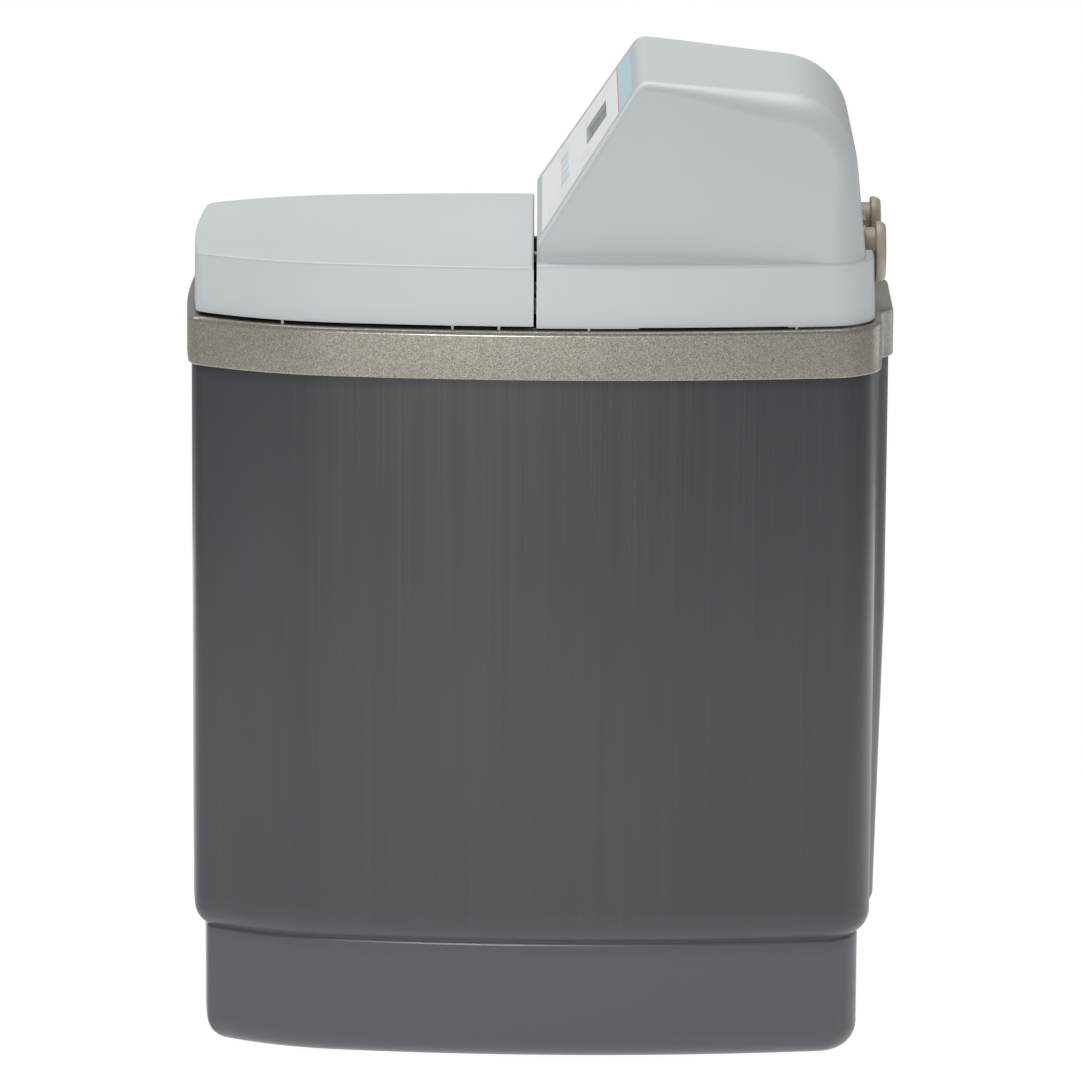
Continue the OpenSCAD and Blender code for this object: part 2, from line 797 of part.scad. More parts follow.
module board_screws() {
    color("#b5b7ba") on_slope(panel_s) {
        board_posts(1.15, -board_depth, -board_depth + 6);
        board_posts(2.6, -board_depth - 1.8, -board_depth);
    }
}

function vessel_points(w) =
    let (r = vessel_r - w, low = vessel_low_dome - w, top = vessel_top_dome - w,
         n = w > 0 ? mouth_r : neck_r)
    concat(
        [for (a = [0:9:90]) [r * sin(a), vessel_cyl_z - low * cos(a)]],
        [for (i = [0:8]) let (a = i / 8 * acos(n / r)) [r * cos(a), vessel_top_c + top * sin(a)]]);

module resin_vessel() {
    outer = vessel_points(0);
    inner = vessel_points(vessel_wall);
    color("#c9c3b2") at_valve() rotate_extrude()
        polygon(concat(outer,
            [[neck_r, neck_low_z], [flange_r, neck_low_z], [flange_r, mouth_z], [mouth_r, mouth_z]],
            [for (i = [len(inner) - 1:-1:0]) inner[i]]));
}

module vessel_boot() {
    seat_r = boot_r - 4;
    inner_r = boot_r - 26;
    r = vessel_r + slip_fit;
    h = vessel_low_dome + slip_fit;
    edge = 6;
    color("#2c2d30") at_valve() rotate_extrude() polygon(concat(
        [[inner_r, floor_z], [boot_r - edge, floor_z], [boot_r, floor_z + edge],
         [boot_r, vessel_cyl_z - h * sqrt(1 - pow(seat_r / r, 2))]],
        [for (i = [0:5]) let (x = seat_r + (inner_r - seat_r) * i / 5)
            [x, vessel_cyl_z - h * sqrt(1 - pow(x / r, 2))]]));
}

module resin_bed() {
    w = vessel_wall + slip_fit;
    r = vessel_r - w;
    h = vessel_low_dome - w;
    hole = strainer_r + slip_fit;
    bed_top = floor_z + resin_h;
    throat = strainer_z + strainer_h + slip_fit;
    a0 = asin(hole / r);
    color("#b5813c") at_valve() rotate_extrude() polygon(concat(
        [for (i = [0:8]) let (a = a0 + (90 - a0) * i / 8) [r * sin(a), vessel_cyl_z - h * cos(a)]],
        [[r, bed_top], [riser_r + slip_fit, bed_top], [riser_r + slip_fit, throat], [hole, throat]]));
}

module riser_tube() {
    color("#e6e6e2") at_valve() tube(riser_r, riser_r - riser_wall, strainer_z + strainer_h / 2, riser_top);
}

module bottom_strainer() {
    slots = 12;
    socket = riser_r + slip_fit / 2;
    color("#d8d8d4") at_valve() difference() {
        rod(strainer_r, strainer_z, strainer_z + strainer_h);
        rod(socket, strainer_z + strainer_h / 2, strainer_z + strainer_h + over);
        rod(riser_r - riser_wall, strainer_z + 4, strainer_z + strainer_h);
        for (i = [0:slots - 1]) rotate([0, 0, i * 360 / slots])
            translate([riser_r - riser_wall - over, -0.75, strainer_z + 6]) cube([strainer_r, 1.5, 12]);
    }
}

module top_strainer() {
    slots = 12;
    wall = top_strainer_wall;
    low = mouth_z - spigot_l - top_strainer_l;
    outer = spigot_r - 2.5;
    color("#d8d8d4") at_valve() difference() {
        rod(outer, low, mouth_z - spigot_l);
        rod(riser_r + slip_fit / 2, low - over, low + wall + over);
        rod(outer - wall, low + wall, mouth_z - spigot_l + over);
        for (i = [0:slots - 1]) rotate([0, 0, i * 360 / slots])
            translate([outer - 2 * wall, -strainer_slot / 2, low + 2 * wall])
                cube([3 * wall, strainer_slot, top_strainer_l / 2]);
    }
}

module neck_seal() {
    color("#26272a") at_valve() translate([0, 0, mouth_z + 2]) torus(mouth_r + 3, 1.9);
}

// Half of the clamp that grips both flanges; side is 1 for +X
module clamp_half(side) {
    rib = clamp_rib;
    outer = flange_r + clamp_wall;
    low = neck_low_z - slip_fit;
    high = mouth_z + flange_t + slip_fit;
    lug = clamp_lug_l;
    color("#d2c9b4") at_valve() difference() {
        union() {
            rod(outer, low - rib, high + rib);
            for (y = [outer - 3, -outer - lug + 3]) translate([-clamp_lug_half, y, low])
                cube([2 * clamp_lug_half, lug, high - low]);
        }
        rod(flange_r + slip_fit, low, high);
        rod(neck_r + slip_fit, low - rib - over, low + over);
        rod(waist_r + slip_fit, high - over, high + rib + over);
        translate([side > 0 ? -2 * outer + 0.5 : -0.5, -2 * outer, 0])
            cube([2 * outer, 4 * outer, 2 * tank_h]);
        for (y = [-1, 1]) translate([0, y * clamp_screw_y, mouth_z]) rotate([0, 90, 0])
            cylinder(r = clamp_screw_r + 0.1, h = 60, center = true);
    }
}

module clamp_right() {
    clamp_half(1);
}

module clamp_left() {
    clamp_half(-1);
}

module clamp_screws() {
    end = clamp_lug_half + clamp_head_t + 0.5;
    color("#b5b7ba") at_valve() for (y = [-1, 1]) translate([0, y * clamp_screw_y, mouth_z])
        rotate([0, 90, 0]) {
            rod(clamp_screw_r, -end, clamp_lug_half + over);
            translate([0, 0, clamp_lug_half]) cylinder(r = clamp_head_r, h = clamp_head_t, $fn = 6);
            translate([0, 0, -clamp_lug_half - clamp_head_t])
                cylinder(r = clamp_head_r, h = clamp_head_t, $fn = 6);
        }
}

module valve_body() {
    hole_l = head_screw_l - 2;
    color("#c9bda6")
    difference() {
        union() {
            at_valve() {
                rod(spigot_r, mouth_z - spigot_l, mouth_z + over);
                rod(flange_r, mouth_z, mouth_z + flange_t);
                rod(waist_r, mouth_z + flange_t - over, drum_z + over);
                rod(drum_r, drum_z, drum_top);
            }
            for (s = [-1, 1]) along_port(s * port_x) {
                rod(barrel_r, valve_y, barrel_end_y);
                rod(port_flange_r, barrel_end_y - port_flange_t, barrel_end_y);
            }
            along_port(0, drain_z) rod(drain_r + 4, valve_y, drain_seat_y);
            translate([inj_x, inj_y, 0]) rod(inj_r, inj_low, inj_top);
            translate([inj_x, inj_y - 8, inj_low]) cube([drum_r, 16, 20]);
            translate([inj_x, 0, nipple_z]) rotate([90, 0, 0]) rod(nipple_r, -inj_y, -nipple_end_y);
        }
        at_valve() {
            rod(riser_r + shaft_fit, mouth_z - spigot_l - over, riser_top + 2);
            rod(rotor_r + 0.5, drum_top - recess_d, drum_top + over);
            tube(mouth_r + 5.2, mouth_r + 0.8, mouth_z - over, mouth_z + 4);
            for (a = [0:90:270]) rotate([0, 0, a]) translate([screw_pcd_r, 0, 0])
                rod(screw_r + 0.1, drum_top - hole_l, drum_top + over);
        }
        for (s = [-1, 1]) along_port(s * port_x) {
            rod(water_r, valve_y + 30, barrel_end_y + over);
            rod(socket_r, barrel_end_y - socket_l, barrel_end_y + over);
        }
        along_port(0, drain_z) rod(drain_r + 0.75, drain_seat_y - 18, drain_seat_y + over);
        along_port(0, drain_z) rod(drain_r - 2, valve_y + 30, drain_seat_y);
        translate([inj_x, inj_y, 0]) rod(nozzle_r + slip_fit, inj_top - nozzle_l - 2, inj_top + over);
        translate([inj_x, 0, nipple_z]) rotate([90, 0, 0]) rod(nipple_r - 1.5, -inj_y, -nipple_end_y + over);
    }
}

module rotor_seal() {
    low = drum_top - recess_d;
    color("#2a2b2d") at_valve() difference() {
        rod(rotor_r + slip_fit / 2, low, low + seal_t);
        for (a = [45:90:315]) rotate([0, 0, a]) translate([rotor_r * 0.6, 0, 0])
            rod(rotor_r / 5, low - over, low + seal_t + over);
    }
}

module rotor_disc() {
    color("#e2ddd0") at_valve() {
        difference() {
            rod(rotor_r, rotor_z, rotor_z + rotor_t);
            for (a = [60, 180]) rotate([0, 0, a]) translate([rotor_r * 0.6, 0, 0])
                rod(rotor_r / 5, rotor_z - over, rotor_z + rotor_t / 2);
        }
        rod(rotor_shaft_r, rotor_z + rotor_t - over, plate_top);
    }
}

module valve_head() {
    color("#c9bda6") at_valve() difference() {
        union() {
            rod(drum_r, drum_top, head_top);
            rod(rotor_shaft_r + 6, head_top - over, head_top + boss_h);
        }
        rod(rotor_shaft_r + shaft_fit, drum_top - over, head_top + boss_h + over);
        for (a = [0:90:270]) rotate([0, 0, a]) translate([screw_pcd_r, 0, 0])
            rod(screw_r + 0.2, drum_top - over, head_top + over);
    }
}

module head_screws() {
    color("#b5b7ba") at_valve() for (a = [0:90:270]) rotate([0, 0, a]) translate([screw_pcd_r, 0, 0]) {
        rod(screw_r, head_top - head_screw_l, head_top + over);
        translate([0, 0, head_top]) cylinder(r = 3.8, h = 3, $fn = 6);
    }
}

module wave_washer() {
    low = head_top + boss_h + slip_fit;
    color("#b5b7ba") at_valve() tube(rotor_shaft_r + 5, rotor_shaft_r + slip_fit, low, low + washer_t);
}

// Flat gear outline: teeth drawn as tapered bars on the root circle, turned by the first angle
module gear(teeth, turn) {
    r = gear_mod * teeth / 2;
    root = r - 1.2 * gear_mod;
    tip = r + 0.8 * gear_mod;
    half = 0.19 * PI * gear_mod;
    circle(root);
    for (i = [0:teeth - 1]) rotate(turn + i * 360 / teeth)
        polygon([[root - 1, -1.6 * half], [tip, -0.6 * half], [tip, 0.6 * half], [root - 1, 1.6 * half]]);
}

module cam_gear() {
    color("#e9e6dd") at_valve() difference() {
        translate([0, 0, cam_z]) linear_extrude(cam_t) gear(cam_teeth, 180 / cam_teeth);
        rod(rotor_shaft_r + shaft_fit, cam_z - over, cam_z + cam_t + over);
    }
}

// The two ears that hold the motor, on either side of the pinion's axis
module motor_ears() {
    for (y = [-1, 1]) translate([motor_x, y * (motor_r + ear_r), 0]) children();
}

module motor_plate() {
    color("#3a3b3e") at_valve() difference() {
        union() {
            rod(drum_r, plate_z, plate_top);
            translate([motor_x, 0, 0]) rod(motor_r + 2, plate_z, plate_top);
            motor_ears() rod(ear_r + 0.5, plate_z, plate_top);
            for (a = [45:90:315]) rotate([0, 0, a]) translate([post_pcd_r, 0, 0])
                rod(4, head_top, plate_z + over);
        }
        rod(rotor_shaft_r + shaft_fit, plate_z - over, plate_top + over);
        translate([motor_x, 0, 0]) rod(pinion_shaft_r + shaft_fit, plate_z - over, plate_top + over);
        motor_ears() rod(screw_r + 0.1, plate_z - over, plate_top + over);
    }
}

module drive_motor() {
    color("#8f9296") at_valve() difference() {
        union() {
            translate([motor_x, 0, 0]) {
                rod(motor_r, plate_top, plate_top + motor_h);
                rod(motor_r * 0.6, plate_top + motor_h - over, plate_top + motor_h + 4);
                translate([-ear_r, -motor_r - ear_r, plate_top])
                    cube([2 * ear_r, 2 * (motor_r + ear_r), ear_t]);
            }
            motor_ears() rod(ear_r, plate_top, plate_top + ear_t);
        }
        translate([motor_x, 0, 0])
            rod(pinion_shaft_r + shaft_fit, plate_top - over, plate_top + shaft_bore_d);
        motor_ears() rod(screw_r + 0.2, plate_top - over, plate_top + ear_t + over);
    }
}

module motor_screws() {
    color("#b5b7ba") at_valve() motor_ears() {
        rod(screw_r, plate_z, plate_top + ear_t + over);
        rod(screw_r + 1.6, plate_top + ear_t, plate_top + ear_t + 2.4);
    }
}

module motor_pinion() {
    color("#e9e6dd") at_valve() translate([motor_x, 0, 0]) {
        translate([0, 0, cam_z]) linear_extrude(cam_t) gear(pinion_teeth, 180);
        rod(pinion_shaft_r, cam_z - 2, plate_top + shaft_bore_d - 0.5);
    }
}

module position_switch() {
    w = 11;
    x0 = -cam_pitch_r - gear_mod - 1.5 - w;
    color("#1f2022") at_valve() {
        translate([x0, -10, plate_z - 11]) cube([w, 20, 11]);
        for (y = [-6, 0, 6]) translate([x0 - 3, y - 1.5, plate_z - 7]) cube([4, 3, 0.8]);
    }
}

module turbine() {
    blades = 6;
    hub_r = 3.2;
    color("#f0f0ee") along_port(port_x) {
        rod(hub_r, turbine_y, turbine_y + turbine_t);
        rod(pivot_r, turbine_y - support_t, turbine_y + turbine_t + support_t);
        intersection() {
            rod(turbine_r, turbine_y, turbine_y + turbine_t);
            for (i = [0:blades - 1]) rotate([0, 0, i * 360 / blades])
                translate([turbine_r / 2, 0, turbine_y + turbine_t / 2]) rotate([35, 0, 0])
                    cube([turbine_r + 4, 1.2, 2 * turbine_t], center = true);
        }
    }
}

module turbine_supports() {
    gap = slip_fit;
    color("#d8d8d4") along_port(port_x)
        for (y = [turbine_y - gap - support_t, turbine_y + turbine_t + gap]) difference() {
            union() {
                tube(water_r - 0.05, water_r - 1.8, y, y + support_t);
                rod(3, y, y + support_t);
                for (a = [0:120:240]) rotate([0, 0, a]) translate([0, -0.9, y])
                    cube([water_r - 1, 1.8, support_t]);
            }
            rod(pivot_r + shaft_fit, y - over, y + support_t + over);
        }
}

module adaptor(x) {
    spigot_or = socket_r - 0.15;
    neck = barrel_r - 1;
    collar_y = adaptor_end_y - collar_t;
    flange_y = barrel_end_y + port_flange_t;
    groove_r = spigot_or - 2 * seal_r;
    bulge = collar_t - 3;
    color("#c4b69c") along_port(x) rotate_extrude() polygon(concat(
        [[pipe_bore_r, spigot_end_y], [spigot_or, spigot_end_y]],
        [for (d = groove_at) let (y = spigot_end_y + d)
            each [[spigot_or, y], [groove_r, y], [groove_r, y + groove_w], [spigot_or, y + groove_w]]],
        [[spigot_or, barrel_end_y], [port_flange_r, barrel_end_y], [port_flange_r, flange_y],
         [neck, flange_y], [neck, collar_y], [collar_r - 1, collar_y], [collar_r, collar_y + 1]],
        [for (a = [0:15:60])
            [collar_r - bulge * (1 - cos(a)), adaptor_end_y - bulge + bulge * sin(a) / sin(60)]],
        [[pipe_bore_r, adaptor_end_y]]));
}

module inlet_adaptor() {
    adaptor(-port_x);
}

module outlet_adaptor() {
    adaptor(port_x);
}

module adaptor_seals() {
    color("#26272a") for (s = [-1, 1], y = groove_at) along_port(s * port_x)
        translate([0, 0, spigot_end_y + y + groove_w / 2]) torus(socket_r - 0.1 - seal_r, seal_r);
}

module port_clips() {
    low = barrel_end_y - port_flange_t - slip_fit - clip_rib;
    high = barrel_end_y + port_flange_t + slip_fit + clip_rib;
    color("#d5c9b0") for (s = [-1, 1]) along_port(s * port_x) difference() {
        union() {
            rod(clip_r, low, high);
            translate([-9, -clip_r - 1, low]) cube([18, 6, high - low]);
        }
        rod(port_flange_r + slip_fit, low + clip_rib, high - clip_rib);
        rod(barrel_r + slip_fit, low - over, low + clip_rib + over);
        rod(barrel_r - 1 + slip_fit, high - clip_rib - over, high + over);
        translate([-barrel_r - slip_fit, 0, low - over])
            cube([2 * barrel_r + 2 * slip_fit, 2 * clip_r, high - low + 2 * over]);
    }
}

module drain_stub() {
    color("#c4b69c") along_port(0, drain_z) difference() {
        union() {
            rod(drain_r + 0.65, drain_seat_y - 17, drain_seat_y);
            rod(drain_r + 3.5, drain_seat_y, drain_seat_y + 3);
            rod(drain_r, drain_seat_y + 3 - over, drain_seat_y + drain_l);
        }
        rod(drain_r - 2, drain_seat_y - 18, drain_seat_y + drain_l + over);
    }
}

module injector_nozzle() {
    color("#7c93a6") translate([inj_x, inj_y, 0]) difference() {
        rod(nozzle_r, inj_top - nozzle_l - 2, inj_top - slip_fit);
        rod(2, inj_top - nozzle_l - 3, inj_top + over);
        rod(5, inj_top - 8, inj_top + over);
    }
}

module injector_cap() {
    ribs = 18;
    low = inj_top - inj_cap_lap;
    color("#c9bda6") translate([inj_x, inj_y, 0]) difference() {
        union() {
            rod(inj_cap_r, low, low + inj_cap_h);
            for (i = [0:ribs - 1]) rotate([0, 0, i * 360 / ribs]) translate([inj_cap_r, 0, 0])
                rod(inj_rib_r, low, low + inj_cap_h - 2);
        }
        rod(inj_r + slip_fit, low - over, inj_top);
    }
}

// Hose swept along a smooth run between the injector's nipple and the well's elbow
hose_ends = [[inj_x, nipple_end_y, nipple_z], [well_x, elbow_end_y, rod_top]];
hose_steps = 14;

function hose_at(t) =
    let (a = hose_ends[0], b = hose_ends[1], k = ease(t))
    [a[0] + (b[0] - a[0]) * k, a[1] + (b[1] - a[1]) * t, a[2] + (b[2] - a[2]) * k];

function hose_ring(t, r) =
    let (p = hose_at(t), d = hose_at(min(1, t + 0.01)) - hose_at(max(0, t - 0.01)), n = d / norm(d),
         u = cross(n, [1, 0, 0]) / norm(cross(n, [1, 0, 0])), v = cross(n, u))
    [for (i = [0:9]) p + r * (u * cos(36 * i) + v * sin(36 * i))];

module brine_hose() {
    color("#e8e8e4") skin([for (i = [0:hose_steps]) hose_ring(i / hose_steps, hose_r)]);
}

module brine_well() {
    slots = 8;
    color("#3f4043") at_well() difference() {
        tube(well_r, well_r - well_wall, floor_z, well_top);
        for (i = [0:slots - 1]) rotate([0, 0, i * 360 / slots + 22.5])
            translate([well_r - 2 * well_wall, -2, floor_z + 12]) cube([3 * well_wall, 4, 50]);
    }
}

module well_cap() {
    color("#55575a") at_well() difference() {
        union() {
            rod(well_r + cap_rim, well_top, well_top + cap_t);
            rod(well_r - well_wall - slip_fit, well_top - cap_plug, well_top + over);
        }
        rod(well_r - 2 * well_wall - slip_fit, well_top - cap_plug - over, well_top);
        rod(rod_r + slip_fit, well_top - over, well_top + cap_t + over);
    }
}

module float_rod() {
    color("#e4e4df") at_well() difference() {
        union() {
            rod(rod_r, floor_z + foot_h - 8, rod_top);
            rod(rod_r + 4, float_z - stop_t, float_z - slip_fit);
            rod(rod_r + 4, float_high + slip_fit, float_high + stop_t);
            translate([0, 0, rod_top]) sphere(elbow_r);
            translate([0, 0, rod_top]) rotate([-90, 0, 0]) rod(elbow_r - 1, 0, elbow_r + elbow_l);
        }
        rod(rod_r - 2, floor_z + foot_h - 8 - over, rod_top);
        translate([0, 0, rod_top]) rotate([-90, 0, 0]) rod(rod_r - 2, 0, elbow_r + elbow_l + over);
    }
}

module brine_float() {
    color("#d94f3a") at_well() tube(float_r, rod_r + slip_fit, float_z, float_z + float_h);
}

module foot_valve() {
    slots = 10;
    r = 20;
    color("#d8d8d4") at_well() difference() {
        rod(r, floor_z, floor_z + foot_h);
        rod(rod_r + slip_fit / 2, floor_z + foot_h - 8, floor_z + foot_h + over);
        rod(rod_r - 2, floor_z + 4, floor_z + foot_h);
        for (i = [0:slots - 1]) rotate([0, 0, i * 360 / slots])
            translate([r - 5, -0.75, floor_z + 5]) cube([10, 1.5, 14]);
    }
}

module overflow_grommet() {
    face_y = cabinet_d / 2 - body_in;
    inside_y = face_y - tank_wall;
    lip_r = overflow_r + 2 * grommet_t;
    color("#26272a") along_port(0, overflow_z) difference() {
        union() {
            rod(overflow_r + grommet_t, inside_y - grommet_t, face_y + grommet_lip);
            rod(lip_r, inside_y - grommet_t, inside_y - 0.1);
            rod(lip_r, face_y + 0.1, face_y + grommet_lip);
        }
        rod(overflow_r, inside_y - 5, face_y + 5);
    }
}

salt_tank();
trim_band();
salt_lid();
hinge_pins();
valve_cover();
control_panel();
display_window();
display_module();
button_menu();
button_down();
button_up();
button_recharge();
control_board();
board_screws();
resin_vessel();
vessel_boot();
resin_bed();
riser_tube();
bottom_strainer();
top_strainer();
neck_seal();
clamp_left();
clamp_right();
clamp_screws();
valve_body();
rotor_seal();
rotor_disc();
valve_head();
head_screws();
wave_washer();
cam_gear();
motor_plate();
drive_motor();
motor_screws();
motor_pinion();
position_switch();
turbine();
turbine_supports();
inlet_adaptor();
outlet_adaptor();
adaptor_seals();
port_clips();
drain_stub();
injector_nozzle();
injector_cap();
brine_hose();
brine_well();
well_cap();
float_rod();
brine_float();
foot_valve();
overflow_grommet();
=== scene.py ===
import json
import math
import bmesh
import bpy
from mathutils import Matrix, Vector


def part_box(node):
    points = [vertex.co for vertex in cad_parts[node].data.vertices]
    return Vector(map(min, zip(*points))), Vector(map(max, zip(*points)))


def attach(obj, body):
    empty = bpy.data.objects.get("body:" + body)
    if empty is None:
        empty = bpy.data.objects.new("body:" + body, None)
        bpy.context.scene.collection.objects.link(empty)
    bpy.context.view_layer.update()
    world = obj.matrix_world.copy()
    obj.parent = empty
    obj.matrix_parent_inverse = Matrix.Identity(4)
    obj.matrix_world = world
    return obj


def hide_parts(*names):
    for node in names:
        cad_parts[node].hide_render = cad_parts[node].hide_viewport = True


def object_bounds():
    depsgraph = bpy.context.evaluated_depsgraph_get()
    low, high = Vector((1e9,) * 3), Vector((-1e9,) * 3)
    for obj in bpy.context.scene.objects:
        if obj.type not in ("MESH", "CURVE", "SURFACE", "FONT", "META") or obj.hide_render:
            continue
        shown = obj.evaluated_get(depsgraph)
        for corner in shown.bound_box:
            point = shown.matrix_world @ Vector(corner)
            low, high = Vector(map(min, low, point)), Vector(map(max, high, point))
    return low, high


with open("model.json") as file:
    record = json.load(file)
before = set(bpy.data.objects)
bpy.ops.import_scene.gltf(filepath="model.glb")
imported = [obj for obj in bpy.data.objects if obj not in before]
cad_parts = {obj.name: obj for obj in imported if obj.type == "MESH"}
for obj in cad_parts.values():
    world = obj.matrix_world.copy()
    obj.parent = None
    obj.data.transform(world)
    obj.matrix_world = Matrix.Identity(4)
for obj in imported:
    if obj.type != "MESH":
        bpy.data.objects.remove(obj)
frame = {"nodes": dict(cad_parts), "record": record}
scene = bpy.context.scene
nodes = frame["nodes"]
boxLow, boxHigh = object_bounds()
mm = 0.001
slotOf = {part["node"]: part["material_slot"] for part in frame["record"]["subparts"]}
print("frame loaded:", len(nodes), "nodes")


def span(node):
    low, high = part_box(node)
    return low / mm, high / mm


def addObject(name, data):
    obj = bpy.data.objects.new(name, data)
    scene.collection.objects.link(obj)
    return obj


# Camera: a long lens on the +X side, looking down a little
camera = {"lens": 265.8, "sensor": 36.0, "place": (5.354, 0.0, 1.5908), "aim": (0.0, 0.002, 0.3347),
          "roll": 0.35, "far": 60.0}


def placeCamera():
    data = bpy.data.cameras.new("photoCamera")
    data.lens = camera["lens"]
    data.sensor_width = camera["sensor"]
    data.clip_end = camera["far"]
    obj = addObject("photoCamera", data)
    obj.location = camera["place"]
    sight = Vector(camera["aim"]) - Vector(camera["place"])
    roll = Matrix.Rotation(math.radians(camera["roll"]), 3, "Z")
    turn = sight.to_track_quat("-Z", "Y").to_matrix() @ roll
    obj.rotation_euler = turn.to_euler()
    scene.camera = obj


placeCamera()


# Mesh helpers: points are in millimetres, and each piece keeps its place in its mesh
weldGap = 0.000001
softening = {"sharpAngle": 28.0, "weight": 60}


def addMesh(name, points, faces, tidy=True):
    mesh = bpy.data.meshes.new(name)
    mesh.from_pydata([Vector(p) * mm for p in points], [], faces)
    if tidy:
        work = bmesh.new()
        work.from_mesh(mesh)
        bmesh.ops.remove_doubles(work, verts=work.verts, dist=weldGap)
        bmesh.ops.recalc_face_normals(work, faces=work.faces)
        work.to_mesh(mesh)
        work.free()
    return addObject(name, mesh)


def ringFaces(rows, count, loop=False):
    faces = []
    for k in range(rows if loop else rows - 1):
        a = k * count
        b = (k + 1) % rows * count
        for i in range(count):
            j = (i + 1) % count
            faces.append((a + i, a + j, b + j, b + i))
    return faces


def loft(name, rings, loop=False):
    count = len(rings[0])
    points = [p for one in rings for p in one]
    faces = ringFaces(len(rings), count, loop)
    if not loop:
        faces.append(tuple(range(count)))
        faces.append(tuple(range((len(rings) - 1) * count, len(rings) * count)))
    return addMesh(name, points, faces)


def lathe(name, profile, place, steps=72):
    rings = []
    for k in range(steps):
        a = 2 * math.pi * k / steps
        turn = [Vector((r * math.cos(a), h, r * math.sin(a))) + Vector(place) for r, h in profile]
        rings.append(turn)
    return loft(name, rings, loop=True)


def block(name, low, high, place=None, bevel=0.0, segments=3):
    work = bmesh.new()
    bmesh.ops.create_cube(work, size=1.0)
    size = Vector(high) - Vector(low)
    middle = (Vector(high) + Vector(low)) / 2
    seat = Matrix.Translation(middle) @ Matrix.Diagonal((*size, 1))
    bmesh.ops.transform(work, matrix=seat, verts=work.verts)
    if bevel:
        bmesh.ops.bevel(work, geom=work.edges, offset=bevel, segments=segments, profile=0.5,
                        affect="EDGES")
    if place is not None:
        bmesh.ops.transform(work, matrix=place, verts=work.verts)
    bmesh.ops.scale(work, vec=(mm, mm, mm), verts=work.verts)
    bmesh.ops.recalc_face_normals(work, faces=work.faces)
    mesh = bpy.data.meshes.new(name)
    work.to_mesh(mesh)
    work.free()
    return addObject(name, mesh)


def settle(obj):
    bpy.context.view_layer.update()
    view = bpy.context.evaluated_depsgraph_get()
    old = obj.data
    obj.data = bpy.data.meshes.new_from_object(obj.evaluated_get(view))
    obj.modifiers.clear()
    bpy.data.meshes.remove(old)


def combine(obj, other, operation):
    change = obj.modifiers.new("combine", "BOOLEAN")
    change.operation = operation
    change.solver = "EXACT"
    change.object = other
    settle(obj)
    bpy.data.objects.remove(other)
    return obj


def shade(obj):
    for face in obj.data.polygons:
        face.use_smooth = True
    obj.data.set_sharp_from_angle(angle=math.radians(softening["sharpAngle"]))
    weigh = obj.modifiers.new("weigh", "WEIGHTED_NORMAL")
    weigh.keep_sharp = True
    weigh.weight = softening["weight"]
    settle(obj)


# Shader helpers: a wire is a socket that takes part in sums, and a finish is one material
class Wire:
    def __init__(self, finish, socket):
        self.finish = finish
        self.socket = socket

    def combineWith(self, operation, first, second):
        return self.finish.figure(operation, first, second)

    def __add__(self, other):
        return self.combineWith("ADD", self, other)

    def __sub__(self, other):
        return self.combineWith("SUBTRACT", self, other)

    def __rsub__(self, other):
        return self.combineWith("SUBTRACT", other, self)

    def __mul__(self, other):
        return self.combineWith("MULTIPLY", self, other)

    def __truediv__(self, other):
        return self.combineWith("DIVIDE", self, other)

    def __gt__(self, other):
        return self.combineWith("GREATER_THAN", self, other)

    def __lt__(self, other):
        return self.combineWith("LESS_THAN", self, other)


class Finish:
    def __init__(self, name, **values):
        self.material = bpy.data.materials.new(name)
        self.material.use_nodes = True
        self.tree = self.material.node_tree
        self.surface = self.tree.nodes["Principled BSDF"]
        for key, value in values.items():
            self.put(key, value)

    def add(self, kind, settings=None, sockets=None, out=0):
        node = self.tree.nodes.new(kind)
        for key, value in (settings or {}).items():
            setattr(node, key, value)
        for key, value in (sockets or {}).items():
            if isinstance(value, Wire):
                self.tree.links.new(value.socket, node.inputs[key])
            else:
                node.inputs[key].default_value = value
        return Wire(self, node.outputs[out])

    def figure(self, operation, *values):
        return self.add("ShaderNodeMath", {"operation": operation}, dict(enumerate(values)))

    def put(self, key, value):
        socket = self.surface.inputs[key]
        if isinstance(value, Wire):
            self.tree.links.new(value.socket, socket)
        else:
            socket.default_value = value

    def place(self, scale=(1.0, 1.0, 1.0)):
        spot = self.add("ShaderNodeTexCoord", out="Object")
        return self.add("ShaderNodeMapping", None, {"Vector": spot, "Scale": scale})

    def along(self, direction):
        spot = self.add("ShaderNodeTexCoord", out="Object")
        return self.add("ShaderNodeVectorMath", {"operation": "DOT_PRODUCT"},
                        {0: spot, 1: direction}, "Value")

    def noise(self, spot, scale, detail=3.0, rough=0.55):
        return self.add("ShaderNodeTexNoise", None,
                        {"Vector": spot, "Scale": scale, "Detail": detail, "Roughness": rough}, "Fac")

    def spread(self, value, low, high, fromLow=0.3, fromHigh=0.7):
        sockets = {"Value": value, "From Min": fromLow, "From Max": fromHigh,
                   "To Min": low, "To Max": high}
        return self.add("ShaderNodeMapRange", None, sockets)

    def mix(self, amount, first, second):
        return self.add("ShaderNodeMix", {"data_type": "RGBA"}, {0: amount, 6: first, 7: second}, 2)

    def grain(self, height, strength, distance):
        return self.add("ShaderNodeBump", None,
                        {"Height": height, "Strength": strength, "Distance": distance}, "Normal")


def shadeOf(red, green, blue):
    def linear(value):
        value = value / 255
        return value / 12.92 if value <= 0.04045 else ((value + 0.055) / 1.055) ** 2.4
    return (linear(red), linear(green), linear(blue), 1.0)


def tinted(colour, factor):
    return tuple(min(1.0, c * factor) for c in colour[:3]) + (1.0,)


